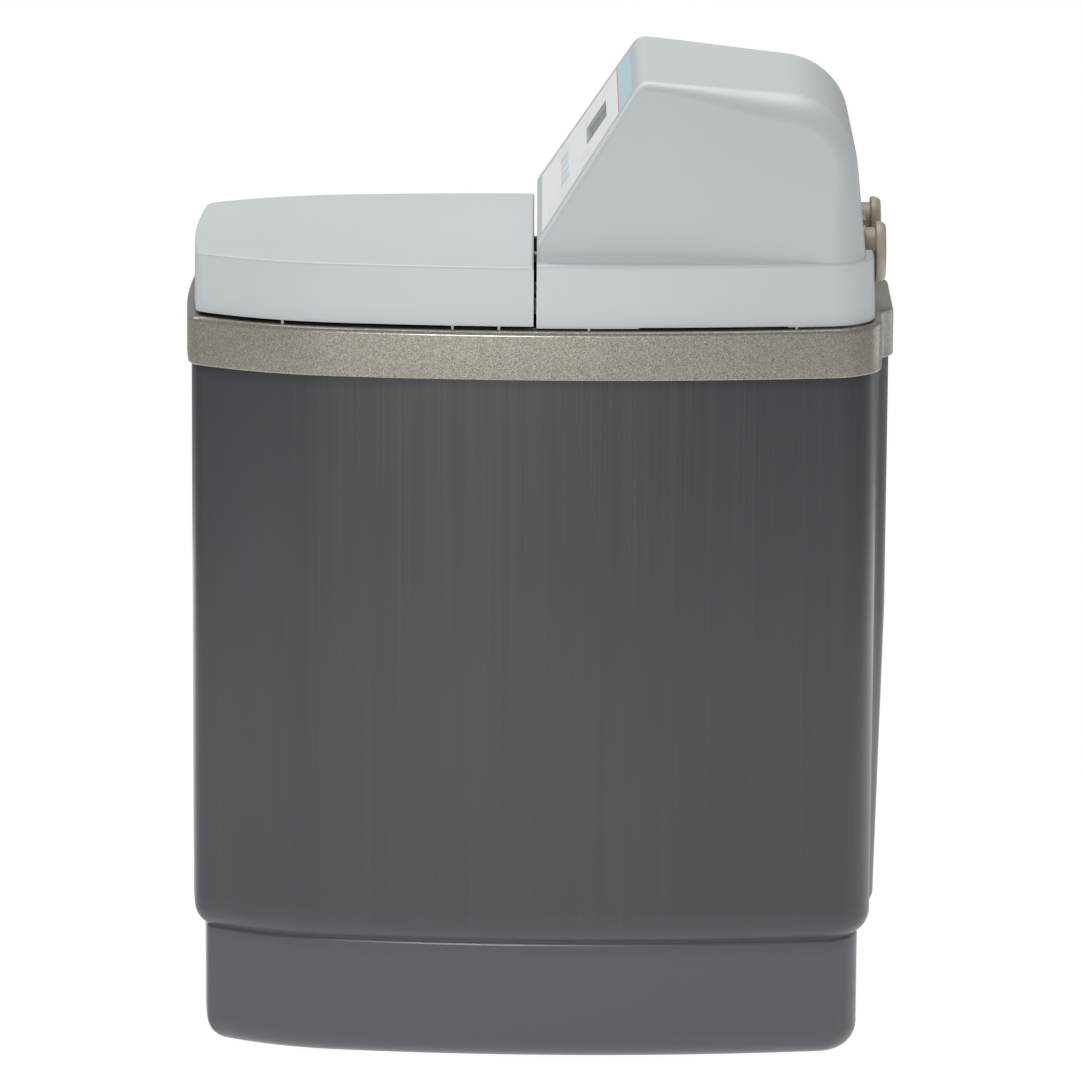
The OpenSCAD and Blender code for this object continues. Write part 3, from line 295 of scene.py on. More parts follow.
# A moulded plastic: two close tones in soft patches, with a fine grain in gloss and height
def moulded(name, colour, rough, drift=0.06, patch=6.0, grain=700.0, height=0.00004, strength=0.25):
    finish = Finish(name)
    spot = finish.place()
    cloud = finish.noise(spot, patch)
    pores = finish.noise(spot, grain, 2.0)
    blend = finish.spread(cloud, 0.0, 1.0)
    finish.put("Base Color", finish.mix(blend, tinted(colour, 1 - drift), tinted(colour, 1 + drift)))
    finish.put("Roughness", finish.spread(pores, rough - 0.05, rough + 0.05))
    finish.put("Normal", finish.grain(pores, strength, height))
    return finish.material


# Dark tank: upright streaks left by the mould, broad ones and fine ones.
# Painted on top: a paler base, painted light from the floor, and a darker strip just under the band, a
# painted shadow.
tankLook = {"tone": (51, 54, 60), "broad": (60.0, 60.0, 1.2), "fine": (620.0, 620.0, 2.5), "streak": 1.4,
            "paintedLightTone": (53, 56, 60), "paintedLightGain": 1.8, "paintedLightSpan": (70.0, 108.0),
            "paintedShadeShare": 0.75, "paintedShadeGain": 0.3, "paintedShadeSpan": (469.0, 477.0)}


def tankFinish():
    look = tankLook
    finish = Finish("tankPlastic", **{"Specular IOR Level": 0.6})
    spot = finish.place()
    broad = finish.noise(finish.place(look["broad"]), 1.0, 4.0, 0.65)
    fine = finish.noise(finish.place(look["fine"]), 1.0, 2.0)
    cloud = finish.noise(spot, 5.0)
    pores = finish.noise(spot, 600.0, 2.0)
    base = shadeOf(*look["tone"])
    tone = finish.mix(finish.spread(broad, 0.0, 1.0), tinted(base, 0.93), tinted(base, 1.08))
    tone = finish.mix(finish.spread(fine, 0.0, 0.5, 0.52, 0.72), tone, tinted(base, look["streak"]))
    tone = finish.mix(finish.spread(cloud, 0.0, 0.35), tone, tinted(base, 1.12))
    height = finish.along((0.0, 0.0, 1 / mm))
    # Painted light: the base is paler towards the floor, as the floor lights it
    paintedLight = tinted(shadeOf(*look["paintedLightTone"]), look["paintedLightGain"])
    tone = finish.mix(finish.spread(height, 1.0, 0.0, *look["paintedLightSpan"]), tone, paintedLight)
    # Painted shadow: a darker strip just under the band, where its overhang shades the tank
    dark = tinted(base, look["paintedShadeGain"])
    tone = finish.mix(finish.spread(height, 0.0, look["paintedShadeShare"], *look["paintedShadeSpan"]), tone, dark)
    finish.put("Base Color", tone)
    finish.put("Roughness", finish.spread(fine, 0.28, 0.34))
    finish.put("Normal", finish.grain(pores, 0.3, 0.00005))
    return finish.material


# Band paint: small metal flakes, each with its own tone, in a satin coat
bandLook = {"tone": (147, 142, 131), "flakes": 1900.0, "dark": 0.52, "light": 1.48}


def bandFinish():
    look = bandLook
    finish = Finish("bandPaint", **{"Coat Weight": 1.0, "Coat Roughness": 0.1})
    spot = finish.place()
    cells = finish.add("ShaderNodeTexVoronoi", {"feature": "F1"},
                       {"Vector": spot, "Scale": look["flakes"]}, "Color")
    parts = finish.add("ShaderNodeSeparateColor", None, {0: cells}, 0)
    fine = finish.noise(spot, look["flakes"], 2.0)
    base = shadeOf(*look["tone"])
    flakes = finish.mix(finish.spread(parts, 0.0, 1.0, 0.0, 1.0), tinted(base, look["dark"]),
                        tinted(base, look["light"]))
    finish.put("Base Color", flakes)
    finish.put("Metallic", finish.spread(parts, 0.3, 0.6, 0.2, 0.9))
    finish.put("Roughness", finish.spread(fine, 0.3, 0.44))
    finish.put("Normal", finish.grain(parts, 0.12, 0.00008))
    return finish.material


# Control panel film: a pale blue head strip, a red rule below it, and plain short lines in columns
panelPrint = {"lean": 33.0, "brow": (-2.0, 566.0), "high": 116.2, "head": 16.0, "rule": 0.9,
              "columnPitch": 8.5, "lineWidth": 0.8, "lineShare": 0.9, "lineChance": 0.3, "rowPitch": 27.0,
              "clear": 43.0, "foot": 14.0, "below": 6.0, "shift": 200.0}


def panelFinish():
    look = panelPrint
    finish = Finish("panelFilm", Roughness=0.34)
    lean = math.radians(look["lean"])
    up = (0.0, math.sin(lean) / mm, math.cos(lean) / mm)
    start = look["brow"][0] * math.sin(lean) + look["brow"][1] * math.cos(lean)
    rise = finish.along(up) - start
    across = finish.along((1 / mm, 0.0, 0.0)) + look["shift"]
    fibre = finish.noise(finish.place(), 900.0, 2.0)
    paper = shadeOf(249, 251, 251)
    sheet = finish.mix(finish.spread(fibre, 0.0, 1.0), tinted(paper, 0.96), paper)
    column = finish.figure("FLOOR", across / look["columnPitch"])
    row = finish.figure("FLOOR", rise / look["rowPitch"])
    cell = finish.add("ShaderNodeCombineXYZ", None, {0: column, 1: row})
    chance = finish.add("ShaderNodeTexWhiteNoise", {"noise_dimensions": "2D"}, {"Vector": cell}, "Value")
    aside = across - column * look["columnPitch"]
    along = rise - row * look["rowPitch"]
    top = look["high"] - look["head"]
    short = along < chance * look["rowPitch"] * look["lineShare"]
    lines = (aside < look["lineWidth"]) * short * (chance > look["lineChance"])
    middle = finish.figure("ABSOLUTE", across - look["shift"])
    lines = lines * (middle > look["clear"]) * (rise > look["foot"]) * (rise < top - look["below"])
    sheet = finish.mix(lines, sheet, shadeOf(158, 166, 170))
    red = (rise > top - look["rule"]) * (rise < top)
    sheet = finish.mix(red, sheet, shadeOf(206, 96, 96))
    sheet = finish.mix(rise > top, sheet, shadeOf(192, 219, 231))
    finish.put("Base Color", sheet)
    finish.put("Normal", finish.grain(fibre, 0.1, 0.00003))
    return finish.material


def glassFinish():
    finish = Finish("windowPane", **{"Roughness": 0.06, "Coat Weight": 0.6})
    smear = finish.noise(finish.place(), 60.0, 3.0)
    finish.put("Base Color", finish.mix(smear, shadeOf(190, 202, 206), shadeOf(204, 214, 217)))
    finish.put("Alpha", 0.35)
    return finish.material


# Display: a pale grey-green field with rows of short dark bars
displayPrint = {"pitch": 9.0, "bar": (2.0, 6.5), "rowPitch": 8.0, "row": (1.0, 2.4), "half": 22.0}


def displayFinish():
    look = displayPrint
    finish = Finish("displayFace", Roughness=0.3)
    lean = math.radians(panelPrint["lean"])
    rise = finish.along((0.0, math.sin(lean) / mm, math.cos(lean) / mm))
    across = finish.along((1 / mm, 0.0, 0.0))
    step = finish.figure("MODULO", across + panelPrint["shift"], look["pitch"])
    high = finish.figure("MODULO", rise, look["rowPitch"])
    inside = finish.figure("ABSOLUTE", across)
    bars = (step > look["bar"][0]) * (step < look["bar"][1])
    marks = bars * (high > look["row"][0]) * (high < look["row"][1]) * (inside < look["half"])
    haze = finish.noise(finish.place(), 120.0)
    field = finish.mix(haze, shadeOf(184, 195, 186), shadeOf(196, 206, 196))
    finish.put("Base Color", finish.mix(marks, field, shadeOf(84, 94, 92)))
    return finish.material


# Circuit board: green lacquer with paler tracks
def boardFinish():
    finish = Finish("boardLacquer", Roughness=0.32)
    spot = finish.place()
    tracks = finish.add("ShaderNodeTexBrick", None,
                        {"Vector": spot, "Scale": 90.0, "Mortar Size": 0.03}, "Fac")
    haze = finish.noise(spot, 200.0)
    lacquer = finish.mix(haze, shadeOf(28, 92, 54), shadeOf(36, 108, 64))
    finish.put("Base Color", finish.mix(tracks, lacquer, shadeOf(92, 150, 104)))
    return finish.material


# Wound vessel: crossing fibre bands under a clear resin
def vesselFinish():
    finish = Finish("vesselShell", **{"Coat Weight": 0.3})
    spot = finish.place((1.0, 1.0, 1.6))
    fibre = finish.add("ShaderNodeTexWave", {"bands_direction": "DIAGONAL"},
                       {"Vector": spot, "Scale": 90.0, "Distortion": 4.0, "Detail": 3.0}, "Fac")
    finish.put("Base Color", finish.mix(fibre, shadeOf(190, 182, 160), shadeOf(212, 205, 186)))
    finish.put("Roughness", finish.spread(fibre, 0.36, 0.5, 0.0, 1.0))
    finish.put("Normal", finish.grain(fibre, 0.2, 0.0001))
    return finish.material


def resinFinish():
    finish = Finish("resinBeads", Roughness=0.4)
    beads = finish.add("ShaderNodeTexVoronoi", None,
                       {"Vector": finish.place(), "Scale": 1200.0}, "Distance")
    finish.put("Base Color", finish.mix(beads, shadeOf(190, 120, 52), shadeOf(104, 58, 22)))
    finish.put("Normal", finish.grain(1.0 - beads, 0.6, 0.0003))
    return finish.material


def metalFinish(name, colour, rough, metallic):
    finish = Finish(name, Metallic=metallic)
    brush = finish.noise(finish.place((400.0, 400.0, 30.0)), 1.0, 3.0)
    finish.put("Base Color", finish.mix(brush, tinted(colour, 0.9), tinted(colour, 1.06)))
    finish.put("Roughness", finish.spread(brush, rough - 0.06, rough + 0.08))
    return finish.material


coverTone = shadeOf(195, 200, 203)
finishes = {
    "tank_plastic": tankFinish(),
    "band_paint": bandFinish(),
    "cover_plastic": moulded("coverPlastic", coverTone, 0.4, 0.018, 4.0, 750.0, 0.00003, 0.2),
    "panel_film": panelFinish(),
    "window": glassFinish(),
    "lcd": displayFinish(),
    "button_plastic": moulded("buttonPlastic", shadeOf(208, 219, 224), 0.38, 0.03, 90.0),
    "board": boardFinish(),
    "vessel_shell": vesselFinish(),
    "black_plastic": moulded("blackPlastic", shadeOf(44, 45, 48), 0.48, 0.12, 14.0),
    "resin": resinFinish(),
    "white_plastic": moulded("whitePlastic", shadeOf(222, 222, 217), 0.42, 0.03, 20.0),
    "seal_rubber": moulded("sealRubber", shadeOf(38, 39, 41), 0.62, 0.15, 40.0),
    "valve_plastic": moulded("valvePlastic", shadeOf(170, 159, 142), 0.44, 0.05, 25.0),
    "steel": metalFinish("plainSteel", shadeOf(186, 188, 191), 0.3, 1.0),
    "motor_case": metalFinish("motorCase", shadeOf(150, 152, 156), 0.42, 0.85),
    "float_plastic": moulded("floatPlastic", shadeOf(206, 126, 60), 0.5, 0.06, 30.0),
}
for nodeName, nodeObject in nodes.items():
    nodeObject.data.materials.clear()
    nodeObject.data.materials.append(finishes[slotOf[nodeName]])
print("materials ready:", len(finishes))


def dress(obj, slot, body, *replaced):
    shade(obj)
    obj.data.materials.clear()
    obj.data.materials.append(finishes[slot])
    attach(obj, body)
    if replaced:
        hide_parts(*replaced)


# Cabinet plan: a narrow front, bowed sides that draw in towards it, and a flat rear with a bump
tankHigh = span("salt_tank")[1]
bandLow = span("trim_band")[0]
lidLow, lidHigh = span("salt_lid")
coverLow = span("valve_cover")[0]
plan = {"half": boxHigh.x / mm, "front": boxLow.y / mm, "sideArc": 1190.0, "sideMid": 20.0,
        "frontArc": 1000.0, "frontCorner": 18.0, "cornerLeast": 4.0, "taperArc": 220.0, "taperStart": -140.0,
        "rearCorner": 40.0, "bump": 9.0, "bumpHalf": 45.0, "bumpShoulder": 20.0, "bumpSteps": 14}
plan["rear"] = boxHigh.y / mm - plan["bump"]


def bearing(a, b):
    return math.atan2(b[1] - a[1], b[0] - a[0])


def meetingPoint(firstCentre, firstRadius, secondCentre, secondRadius):
    gap = Vector(secondCentre) - Vector(firstCentre)
    d = gap.length
    u = gap / d
    a = (firstRadius ** 2 - secondRadius ** 2 + d * d) / (2 * d)
    h = math.sqrt(firstRadius ** 2 - a * a)
    return Vector(firstCentre) + a * u + h * Vector((-u.y, u.x))


frontCentre = Vector((0.0, plan["front"] + plan["frontArc"]))
sideCentre = Vector((plan["half"] - plan["sideArc"], plan["sideMid"]))
taperAngle = math.asin((plan["taperStart"] - plan["sideMid"]) / plan["sideArc"])
taperBack = plan["sideArc"] - plan["taperArc"]
taperCentre = sideCentre + taperBack * Vector((math.cos(taperAngle), math.sin(taperAngle)))
rearCornerY = plan["rear"] - plan["rearCorner"]
rearReach = (plan["sideArc"] - plan["rearCorner"]) ** 2 - (rearCornerY - plan["sideMid"]) ** 2
rearCorner = Vector((sideCentre.x + math.sqrt(rearReach), rearCornerY))
sideEnd = bearing(sideCentre, rearCorner)


def ease(t):
    return t * t * (3 - 2 * t)


def quarter(radius, steps):
    turns = [math.pi / 2 * i / steps for i in range(steps + 1)]
    return [(radius * (1 - math.cos(a)), radius * (1 - math.sin(a))) for a in turns]


def arc(centre, radius, start, end, steps, first=0):
    turns = [start + (end - start) * i / steps for i in range(first, steps + 1)]
    return [(centre[0] + radius * math.cos(a), centre[1] + radius * math.sin(a)) for a in turns]


onAxis = 0.0001


def mirrored(half):
    inner = half[1:-1] if abs(half[-1][0]) < onAxis else half[1:]
    return half + [(-x, y) for x, y in reversed(inner)]


def frontHalf(inset):
    radius = max(plan["frontCorner"] - inset, plan["cornerLeast"])
    corner = meetingPoint(frontCentre, plan["frontArc"] - inset - radius,
                          taperCentre, plan["taperArc"] - inset - radius)
    frontEnd = bearing(frontCentre, corner)
    cornerEnd = bearing(taperCentre, corner)
    half = arc(frontCentre, plan["frontArc"] - inset, -math.pi / 2, frontEnd, 8)
    half += arc(corner, radius, frontEnd, cornerEnd, 12, 1)
    half += arc(taperCentre, plan["taperArc"] - inset, cornerEnd, taperAngle, 12, 1)
    return half


def outline(inset, bump=0.0):
    half = frontHalf(inset)
    half += arc(sideCentre, plan["sideArc"] - inset, taperAngle, 0.0, 10, 1)
    half += arc(sideCentre, plan["sideArc"] - inset, 0.0, sideEnd, 10, 1)
    half += arc(rearCorner, plan["rearCorner"] - inset, sideEnd, math.pi / 2, 14, 1)
    for i in range(plan["bumpSteps"] + 1):
        t = i / plan["bumpSteps"]
        x = plan["bumpHalf"] + plan["bumpShoulder"] * (1 - t)
        half.append((x, plan["rear"] - inset + bump * plan["bump"] * ease(t)))
    return mirrored(half)


def ring(inset, z, bump=0.0):
    return [(x, y, z) for x, y in outline(inset, bump)]


def sideAngle(y, inset):
    return math.asin((y - plan["sideMid"]) / (plan["sideArc"] - inset))


# Salt tank: drawn-in base, a soft step, and a bump that grows towards the rim
tank = {"wall": 4.0, "bodyIn": 3.0, "stepIn": 8.0, "foot": 19.0, "baseHeight": 84.0, "stepHeight": 19.0,
        "shoulder": 5.0, "shoulderTurn": 34.0, "stepTurn": 61.0, "crease": 0.5, "creaseShare": 0.12,
        "bumpLow": 0.45, "bumpFull": 303.0, "overflow": (0.0, 430.0, 12.3), "overflowReach": 20.0,
        "footSteps": 10, "shoulderSteps": 6, "stepSteps": 12, "bodySteps": 8}
axisGap = 0.01


def tankRings(inset):
    low = tank["bodyIn"] + tank["stepIn"] + inset
    high = tank["bodyIn"] + inset
    foot = quarter(tank["foot"] - inset, tank["footSteps"])
    rings = [ring(low + inward, inset + rise) for rise, inward in foot]
    shoulder = tank["shoulder"]
    turn = math.radians(tank["shoulderTurn"])
    for i in range(tank["shoulderSteps"] + 1):
        a = turn * i / tank["shoulderSteps"]
        rings.append(ring(low + shoulder * (1 - math.cos(a)),
                          tank["baseHeight"] - shoulder * (math.sin(turn) - math.sin(a))))
    turn = math.radians(tank["stepTurn"])
    sweep = (low - high + shoulder * tank["creaseShare"]) / (1 - math.cos(turn))
    for i in range(tank["stepSteps"] + 1):
        t = i / tank["stepSteps"]
        a = turn * (1 - t)
        z = tank["baseHeight"] + tank["crease"] + sweep * (math.sin(turn) - math.sin(a))
        rings.append(ring(high + sweep * (1 - math.cos(a)), z, tank["bumpLow"] * t))
    z = tank["baseHeight"] + tank["stepHeight"]
    for i in range(1, tank["bodySteps"] + 1):
        t = i / tank["bodySteps"]
        bump = tank["bumpLow"] + (1 - tank["bumpLow"]) * t
        rings.append(ring(high, z + (tank["bumpFull"] - z) * t, bump))
    rings.append(ring(high, (tank["bumpFull"] + tankHigh.z) / 2, 1.0))
    rings.append(ring(high, tankHigh.z, 1.0))
    return rings


def makeTank():
    outer = tankRings(0.0)
    inner = tankRings(tank["wall"])
    obj = loft("saltTank", outer + list(reversed(inner)))
    x, z, radius = tank["overflow"]
    front = plan["rear"] - tank["overflowReach"]
    rear = plan["rear"] + tank["overflowReach"]
    profile = [(axisGap, front), (radius, front), (radius, rear), (axisGap, rear)]
    hole = lathe("overflowHole", profile, (x, 0.0, z))
    combine(obj, hole, "DIFFERENCE")
    dress(obj, "tank_plastic", "cabinet", "salt_tank")


makeTank()

# Trim band: a rolled top lip over the tank's rim
band = {"wall": 2.7, "lip": 13.0, "edge": 3.6, "edgeSteps": 9, "rise": 5.5,
        "lowEdge": [(1.44, 0.0), (0.405, 0.4), (0.0, 1.3)]}


def makeBand():
    bottom = bandLow.z
    top = tankHigh.z + band["rise"]
    rings = [ring(inset, bottom + rise, 1.0) for inset, rise in band["lowEdge"]]
    rings.append(ring(0.0, (bottom + top) / 2, 1.0))
    rings += [ring(inward, top - drop, 1.0) for inward, drop in quarter(band["edge"], band["edgeSteps"])]
    rings.append(ring(band["lip"], top, 0.0))
    rings.append(ring(band["lip"], tankHigh.z, 0.0))
    rings.append(ring(band["wall"], tankHigh.z, 1.0))
    rings.append(ring(band["wall"], bottom, 1.0))
    obj = loft("trimBand", rings, loop=True)
    dress(obj, "band_paint", "cabinet", "trim_band")


makeBand()


# Small rests on the band, set out by Geometry Nodes on a cloud of points
def socketId(tree, name):
    for item in tree.interface.items_tree:
        if item.item_type == "SOCKET" and item.in_out == "INPUT" and item.name == name:
            return item.identifier
    return None


def newTree(name, extra, kind):
    tree = bpy.data.node_groups.new(name, "GeometryNodeTree")
    face = tree.interface
    face.new_socket("Geometry", in_out="INPUT", socket_type="NodeSocketGeometry")
    face.new_socket(extra, in_out="INPUT", socket_type=kind)
    face.new_socket("Finish", in_out="INPUT", socket_type="NodeSocketMaterial")
    face.new_socket("Geometry", in_out="OUTPUT", socket_type="NodeSocketGeometry")
    return tree, tree.nodes.new("NodeGroupInput")


def paintOut(tree, source, made):
    real = tree.nodes.new("GeometryNodeRealizeInstances")
    paint = tree.nodes.new("GeometryNodeSetMaterial")
    drain = tree.nodes.new("NodeGroupOutput")
    join = tree.links.new
    join(made, real.inputs["Geometry"])
    join(real.outputs["Geometry"], paint.inputs["Geometry"])
    join(source.outputs["Finish"], paint.inputs["Material"])
    join(paint.outputs["Geometry"], drain.inputs["Geometry"])


def growBy(obj, tree, extra, value, slot):
    grow = obj.modifiers.new(tree.name, "NODES")
    grow.node_group = tree
    grow[socketId(tree, extra)] = value
    grow[socketId(tree, "Finish")] = finishes[slot]
    settle(obj)


def restTree():
    tree, source = newTree("setRests", "Size", "NodeSocketVector")
    cube = tree.nodes.new("GeometryNodeMeshCube")
    spread = tree.nodes.new("GeometryNodeInstanceOnPoints")
    join = tree.links.new
    join(source.outputs["Size"], cube.inputs["Size"])
    join(source.outputs["Geometry"], spread.inputs["Points"])
    join(cube.outputs["Mesh"], spread.inputs["Instance"])
    paintOut(tree, source, spread.outputs["Instances"])
    return tree


def sideReach(y, inset):
    drawnIn = y < plan["taperStart"]
    centre = taperCentre if drawnIn else sideCentre
    radius = plan["taperArc"] if drawnIn else plan["sideArc"]
    return centre.x + math.sqrt((radius - inset) ** 2 - (y - centre.y) ** 2)


restShape = {"inset": 6.7, "wide": 2.4, "long": 1.6, "sunk": 0.5}
restSpots = {"lid": [(-27.0, 2.5), (-58.0, 2.5), (-172.0, 2.5)], "cover": [(33.0, 1.3), (172.0, 1.3)]}


def makeRests(name, spots, tree):
    top = tankHigh.z + band["rise"]
    points = []
    for y, height in spots:
        x = sideReach(y, restShape["inset"])
        for side in (-1, 1):
            points.append((side * x, y, top + (height - restShape["sunk"]) / 2))
    obj = addMesh(name, points, [], tidy=False)
    size = Vector((restShape["wide"], restShape["long"], spots[0][1] + restShape["sunk"])) * mm
    growBy(obj, tree, "Size", size, "cover_plastic")
    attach(obj, "cabinet")


rests = restTree()
makeRests("lidRests", restSpots["lid"], rests)
makeRests("coverRests", restSpots["cover"], rests)
print("tank and band ready")

# Salt lid: a shallow tray turned over, with a softened edge, a slight crown and an open rear side
lid = {"skirtIn": 5.2, "draft": 0.5, "edge": 2.0, "edgeSteps": 8, "shell": 2.1, "rear": lidHigh.y,
       "crown": 1.2, "crownAcross": (0.7, 134.0), "crownAlong": (0.3, 115.0), "openBand": 2.4, "openRows": 2,
       "hingeX": 108.0, "hingeY": -14.0, "hingeZ": 546.0, "hingeWidth": 6.0, "hingeGap": 0.5,
       "lug": 4.6, "lugSunk": 1.6, "bore": 2.05, "boreReach": 18.0}


def lidOutline(inset):
    rear = lid["rear"] - max(0.0, inset - lid["skirtIn"] - lid["draft"])
    half = frontHalf(inset)
    half += arc(sideCentre, plan["sideArc"] - inset, taperAngle, sideAngle(rear, inset), 12, 1)
    wide = half[-1][0]
    half += [(wide * t, rear) for t in (0.97, 0.8, 0.6, 0.4, 0.2, 0.0)]
    return mirrored(half)


def crownDrop(x, y):
    middle = (lidLow.y + lidHigh.y) / 2
    shareX, reachX = lid["crownAcross"]
    shareY, reachY = lid["crownAlong"]
    return lid["crown"] * (shareX * (x / reachX) ** 2 + shareY * ((y - middle) / reachY) ** 2)


def makeLid():
    top = lidHigh.z
    low = lidLow.z
    bottom = lid["skirtIn"]
    upper = bottom + lid["draft"]
    rings = [[(x, y, low) for x, y in lidOutline(bottom)]]
    rings.append([(x, y, (low + top) / 2) for x, y in lidOutline((bottom + upper) / 2)])
    for inward, drop in quarter(lid["edge"], lid["edgeSteps"]):
        flat = lidOutline(upper + inward)
        rings.append([(x, y, top - drop - crownDrop(x, y)) for x, y in flat])
    last = rings[-1]
    middle = (lidLow.y + lidHigh.y) / 2
    for t in (0.93, 0.84, 0.72, 0.58, 0.42, 0.26, 0.1):
        flat = [(x * t, middle + (y - middle) * t) for x, y, z in last]
        rings.append([(x, y, top - crownDrop(x, y)) for x, y in flat])
    count = len(rings[0])
    points = [p for one in rings for p in one]
    faces = [tuple(range((len(rings) - 1) * count, len(rings) * count))]
    for n, quad in enumerate(ringFaces(len(rings), count)):
        atRear = min(points[corner][1] for corner in quad) > lid["rear"] - lid["openBand"]
        if not (atRear and n // count < lid["openRows"]):
            faces.append(quad)
    obj = addMesh("saltLid", points, faces)
    if obj.data.polygons[0].normal.z < 0:
        obj.data.flip_normals()
    thick = obj.modifiers.new("thick", "SOLIDIFY")
    thick.thickness = lid["shell"] * mm
    thick.offset = -1.0
    thick.use_even_offset = True
    settle(obj)
    for side in (-1, 1):
        for way in (-1, 1):
            combine(obj, lidLug(side, way), "UNION")
    for side in (-1, 1):
        x = side * lid["hingeX"]
        cut = rodAlongX("boreCut", x - lid["boreReach"], x + lid["boreReach"], lid["bore"])
        combine(obj, cut, "DIFFERENCE")
    dress(obj, "cover_plastic", "lid", "salt_lid")


def rodAlongX(name, start, end, radius, steps=40):
    rings = []
    for x in (start, end):
        turns = [2 * math.pi * i / steps for i in range(steps)]
        rings.append([(x, lid["hingeY"] + radius * math.cos(a), lid["hingeZ"] + radius * math.sin(a))
                      for a in turns])
    return loft(name, rings)


def lidLug(side, way):
    width = lid["hingeWidth"]
    gap = lid["hingeGap"]
    start = side * lid["hingeX"] + (width / 2 + gap if way > 0 else -width * 1.5 - gap)
    radius = lid["lug"]
    obj = rodAlongX("lug", start, start + width, radius)
    foot = block("lugFoot", (start, lid["hingeY"] - radius, lid["hingeZ"]),
                 (start + width, lid["hingeY"] + radius, lidHigh.z - lid["lugSunk"]))
    return combine(obj, foot, "UNION")


makeLid()
print("lid ready")

# Valve cover: a skirt that runs on from the lid's, and a dome with soft edges that grow to the rear
cover = {"skirtIn": 5.2, "draft": 1.3, "edge": 2.0, "shell": 3.0, "frontWall": -2.0,
         "half": 122.0, "sideLean": 13.0, "brow": 566.0, "slopeLean": 33.0, "topFall": 5.5, "rearLean": 5.8,
         "rearRound": 50.0, "crestRound": 10.0, "browRound": 6.0, "skirtTop": 554.0, "rear": 218.8,
         "slopeEdge": 4.0, "crestGrow": 2.0, "topEdge": 18.0, "topRun": 105.0, "rearEdge": 15.0,
         "rearDrop": 45.0, "footEdge": 24.0, "edgeLeast": 0.8, "rise": 118.0, "domeLow": 6.0,
         "insideLow": 12.0, "footGap": 0.01}
sideTurn = math.radians(cover["sideLean"])
domeSteps = {"bend": 6.0, "bendLeast": 4, "straight": 10, "rear": 8, "edge": 9, "skirt": 7}
nearly = 0.001
cover["top"] = cover["skirtTop"] + cover["rise"]
cover["browPoint"] = (cover["frontWall"], cover["brow"])
slopeUp = (math.sin(math.radians(cover["slopeLean"])), math.cos(math.radians(cover["slopeLean"])))
topAngle = math.radians(90 - cover["topFall"])
slopeAngle = math.radians(180 - cover["slopeLean"])
rearAngle = math.radians(cover["rearLean"])
crestShift = cover["crestRound"] * math.tan((slopeAngle - topAngle) / 2) / 2
crestPoint = (cover["frontWall"] + (cover["top"] - cover["brow"]) * slopeUp[0] / slopeUp[1] + crestShift,
              cover["top"])


def reach(angle, point):
    return math.cos(angle) * point[0] + math.sin(angle) * point[1]


def cornerCentre(first, second, radius):
    k = math.sin(second[0] - first[0])
    p = first[1] - radius
    q = second[1] - radius
    return ((p * math.sin(second[0]) - q * math.sin(first[0])) / k,
            (q * math.cos(first[0]) - p * math.cos(second[0])) / k)


def straightRun(first, last, angle, shares):
    gap = (last[0] - first[0], last[1] - first[1])
    return [(first[0] + gap[0] * t, first[1] + gap[1] * t, angle) for t in shares]


def domeProfile(low):
    wall = (math.pi, -cover["frontWall"])
    slope = (slopeAngle, reach(slopeAngle, cover["browPoint"]))
    top = (topAngle, reach(topAngle, crestPoint))
    rear = (rearAngle, reach(rearAngle, (cover["rear"], cover["skirtTop"])))
    samples = [(cover["frontWall"], low, math.pi)]
    lines = [wall, slope, top, rear]
    rounds = [cover["browRound"], cover["crestRound"], cover["rearRound"]]
    for i in range(3):
        centre = cornerCentre(lines[i + 1], lines[i], rounds[i])
        steps = int(abs(lines[i][0] - lines[i + 1][0]) / math.radians(domeSteps["bend"]))
        steps = max(domeSteps["bendLeast"], steps)
        bend = []
        for k in range(steps + 1):
            a = lines[i][0] + (lines[i + 1][0] - lines[i][0]) * k / steps
            bend.append((centre[0] + rounds[i] * math.cos(a), centre[1] + rounds[i] * math.sin(a), a))
        count = domeSteps["straight"]
        shares = [k / count for k in range(1, count)]
        samples += straightRun(samples[-1], bend[0], lines[i][0], shares)
        samples += bend
    end = ((rear[1] - math.sin(rear[0]) * low) / math.cos(rear[0]), low, rear[0])
    count = domeSteps["rear"]
    shares = [k / count for k in range(1, count + 1)]
    return samples + straightRun(samples[-1], end, rear[0], shares)


def edgeRound(y, z, angle):
    small = cover["slopeEdge"]
    grow = cover["crestGrow"]
    if angle >= slopeAngle - nearly:
        return small
    if angle > topAngle + nearly:
        return small + grow * (slopeAngle - angle) / (slopeAngle - topAngle)
    if angle > topAngle - nearly:
        t = min(1.0, max(0.0, (y - crestPoint[0]) / cover["topRun"]))
        return small + grow + (cover["topEdge"] - small - grow) * ease(t)
    if angle > rearAngle + nearly:
        t = (topAngle - angle) / (topAngle - rearAngle)
        return cover["topEdge"] + (cover["rearEdge"] - cover["topEdge"]) * ease(t)
    start = cover["top"] - cover["rearDrop"]
    t = min(1.0, max(0.0, (start - z) / (start - cover["skirtTop"])))
    return cover["rearEdge"] + (cover["footEdge"] - cover["rearEdge"]) * ease(t)


def domeHalf(y, z):
    depth = math.cos(topAngle) * (y - crestPoint[0]) + math.sin(topAngle) * (z - crestPoint[1])
    return cover["half"] - (depth + cover["rise"]) * math.tan(sideTurn)


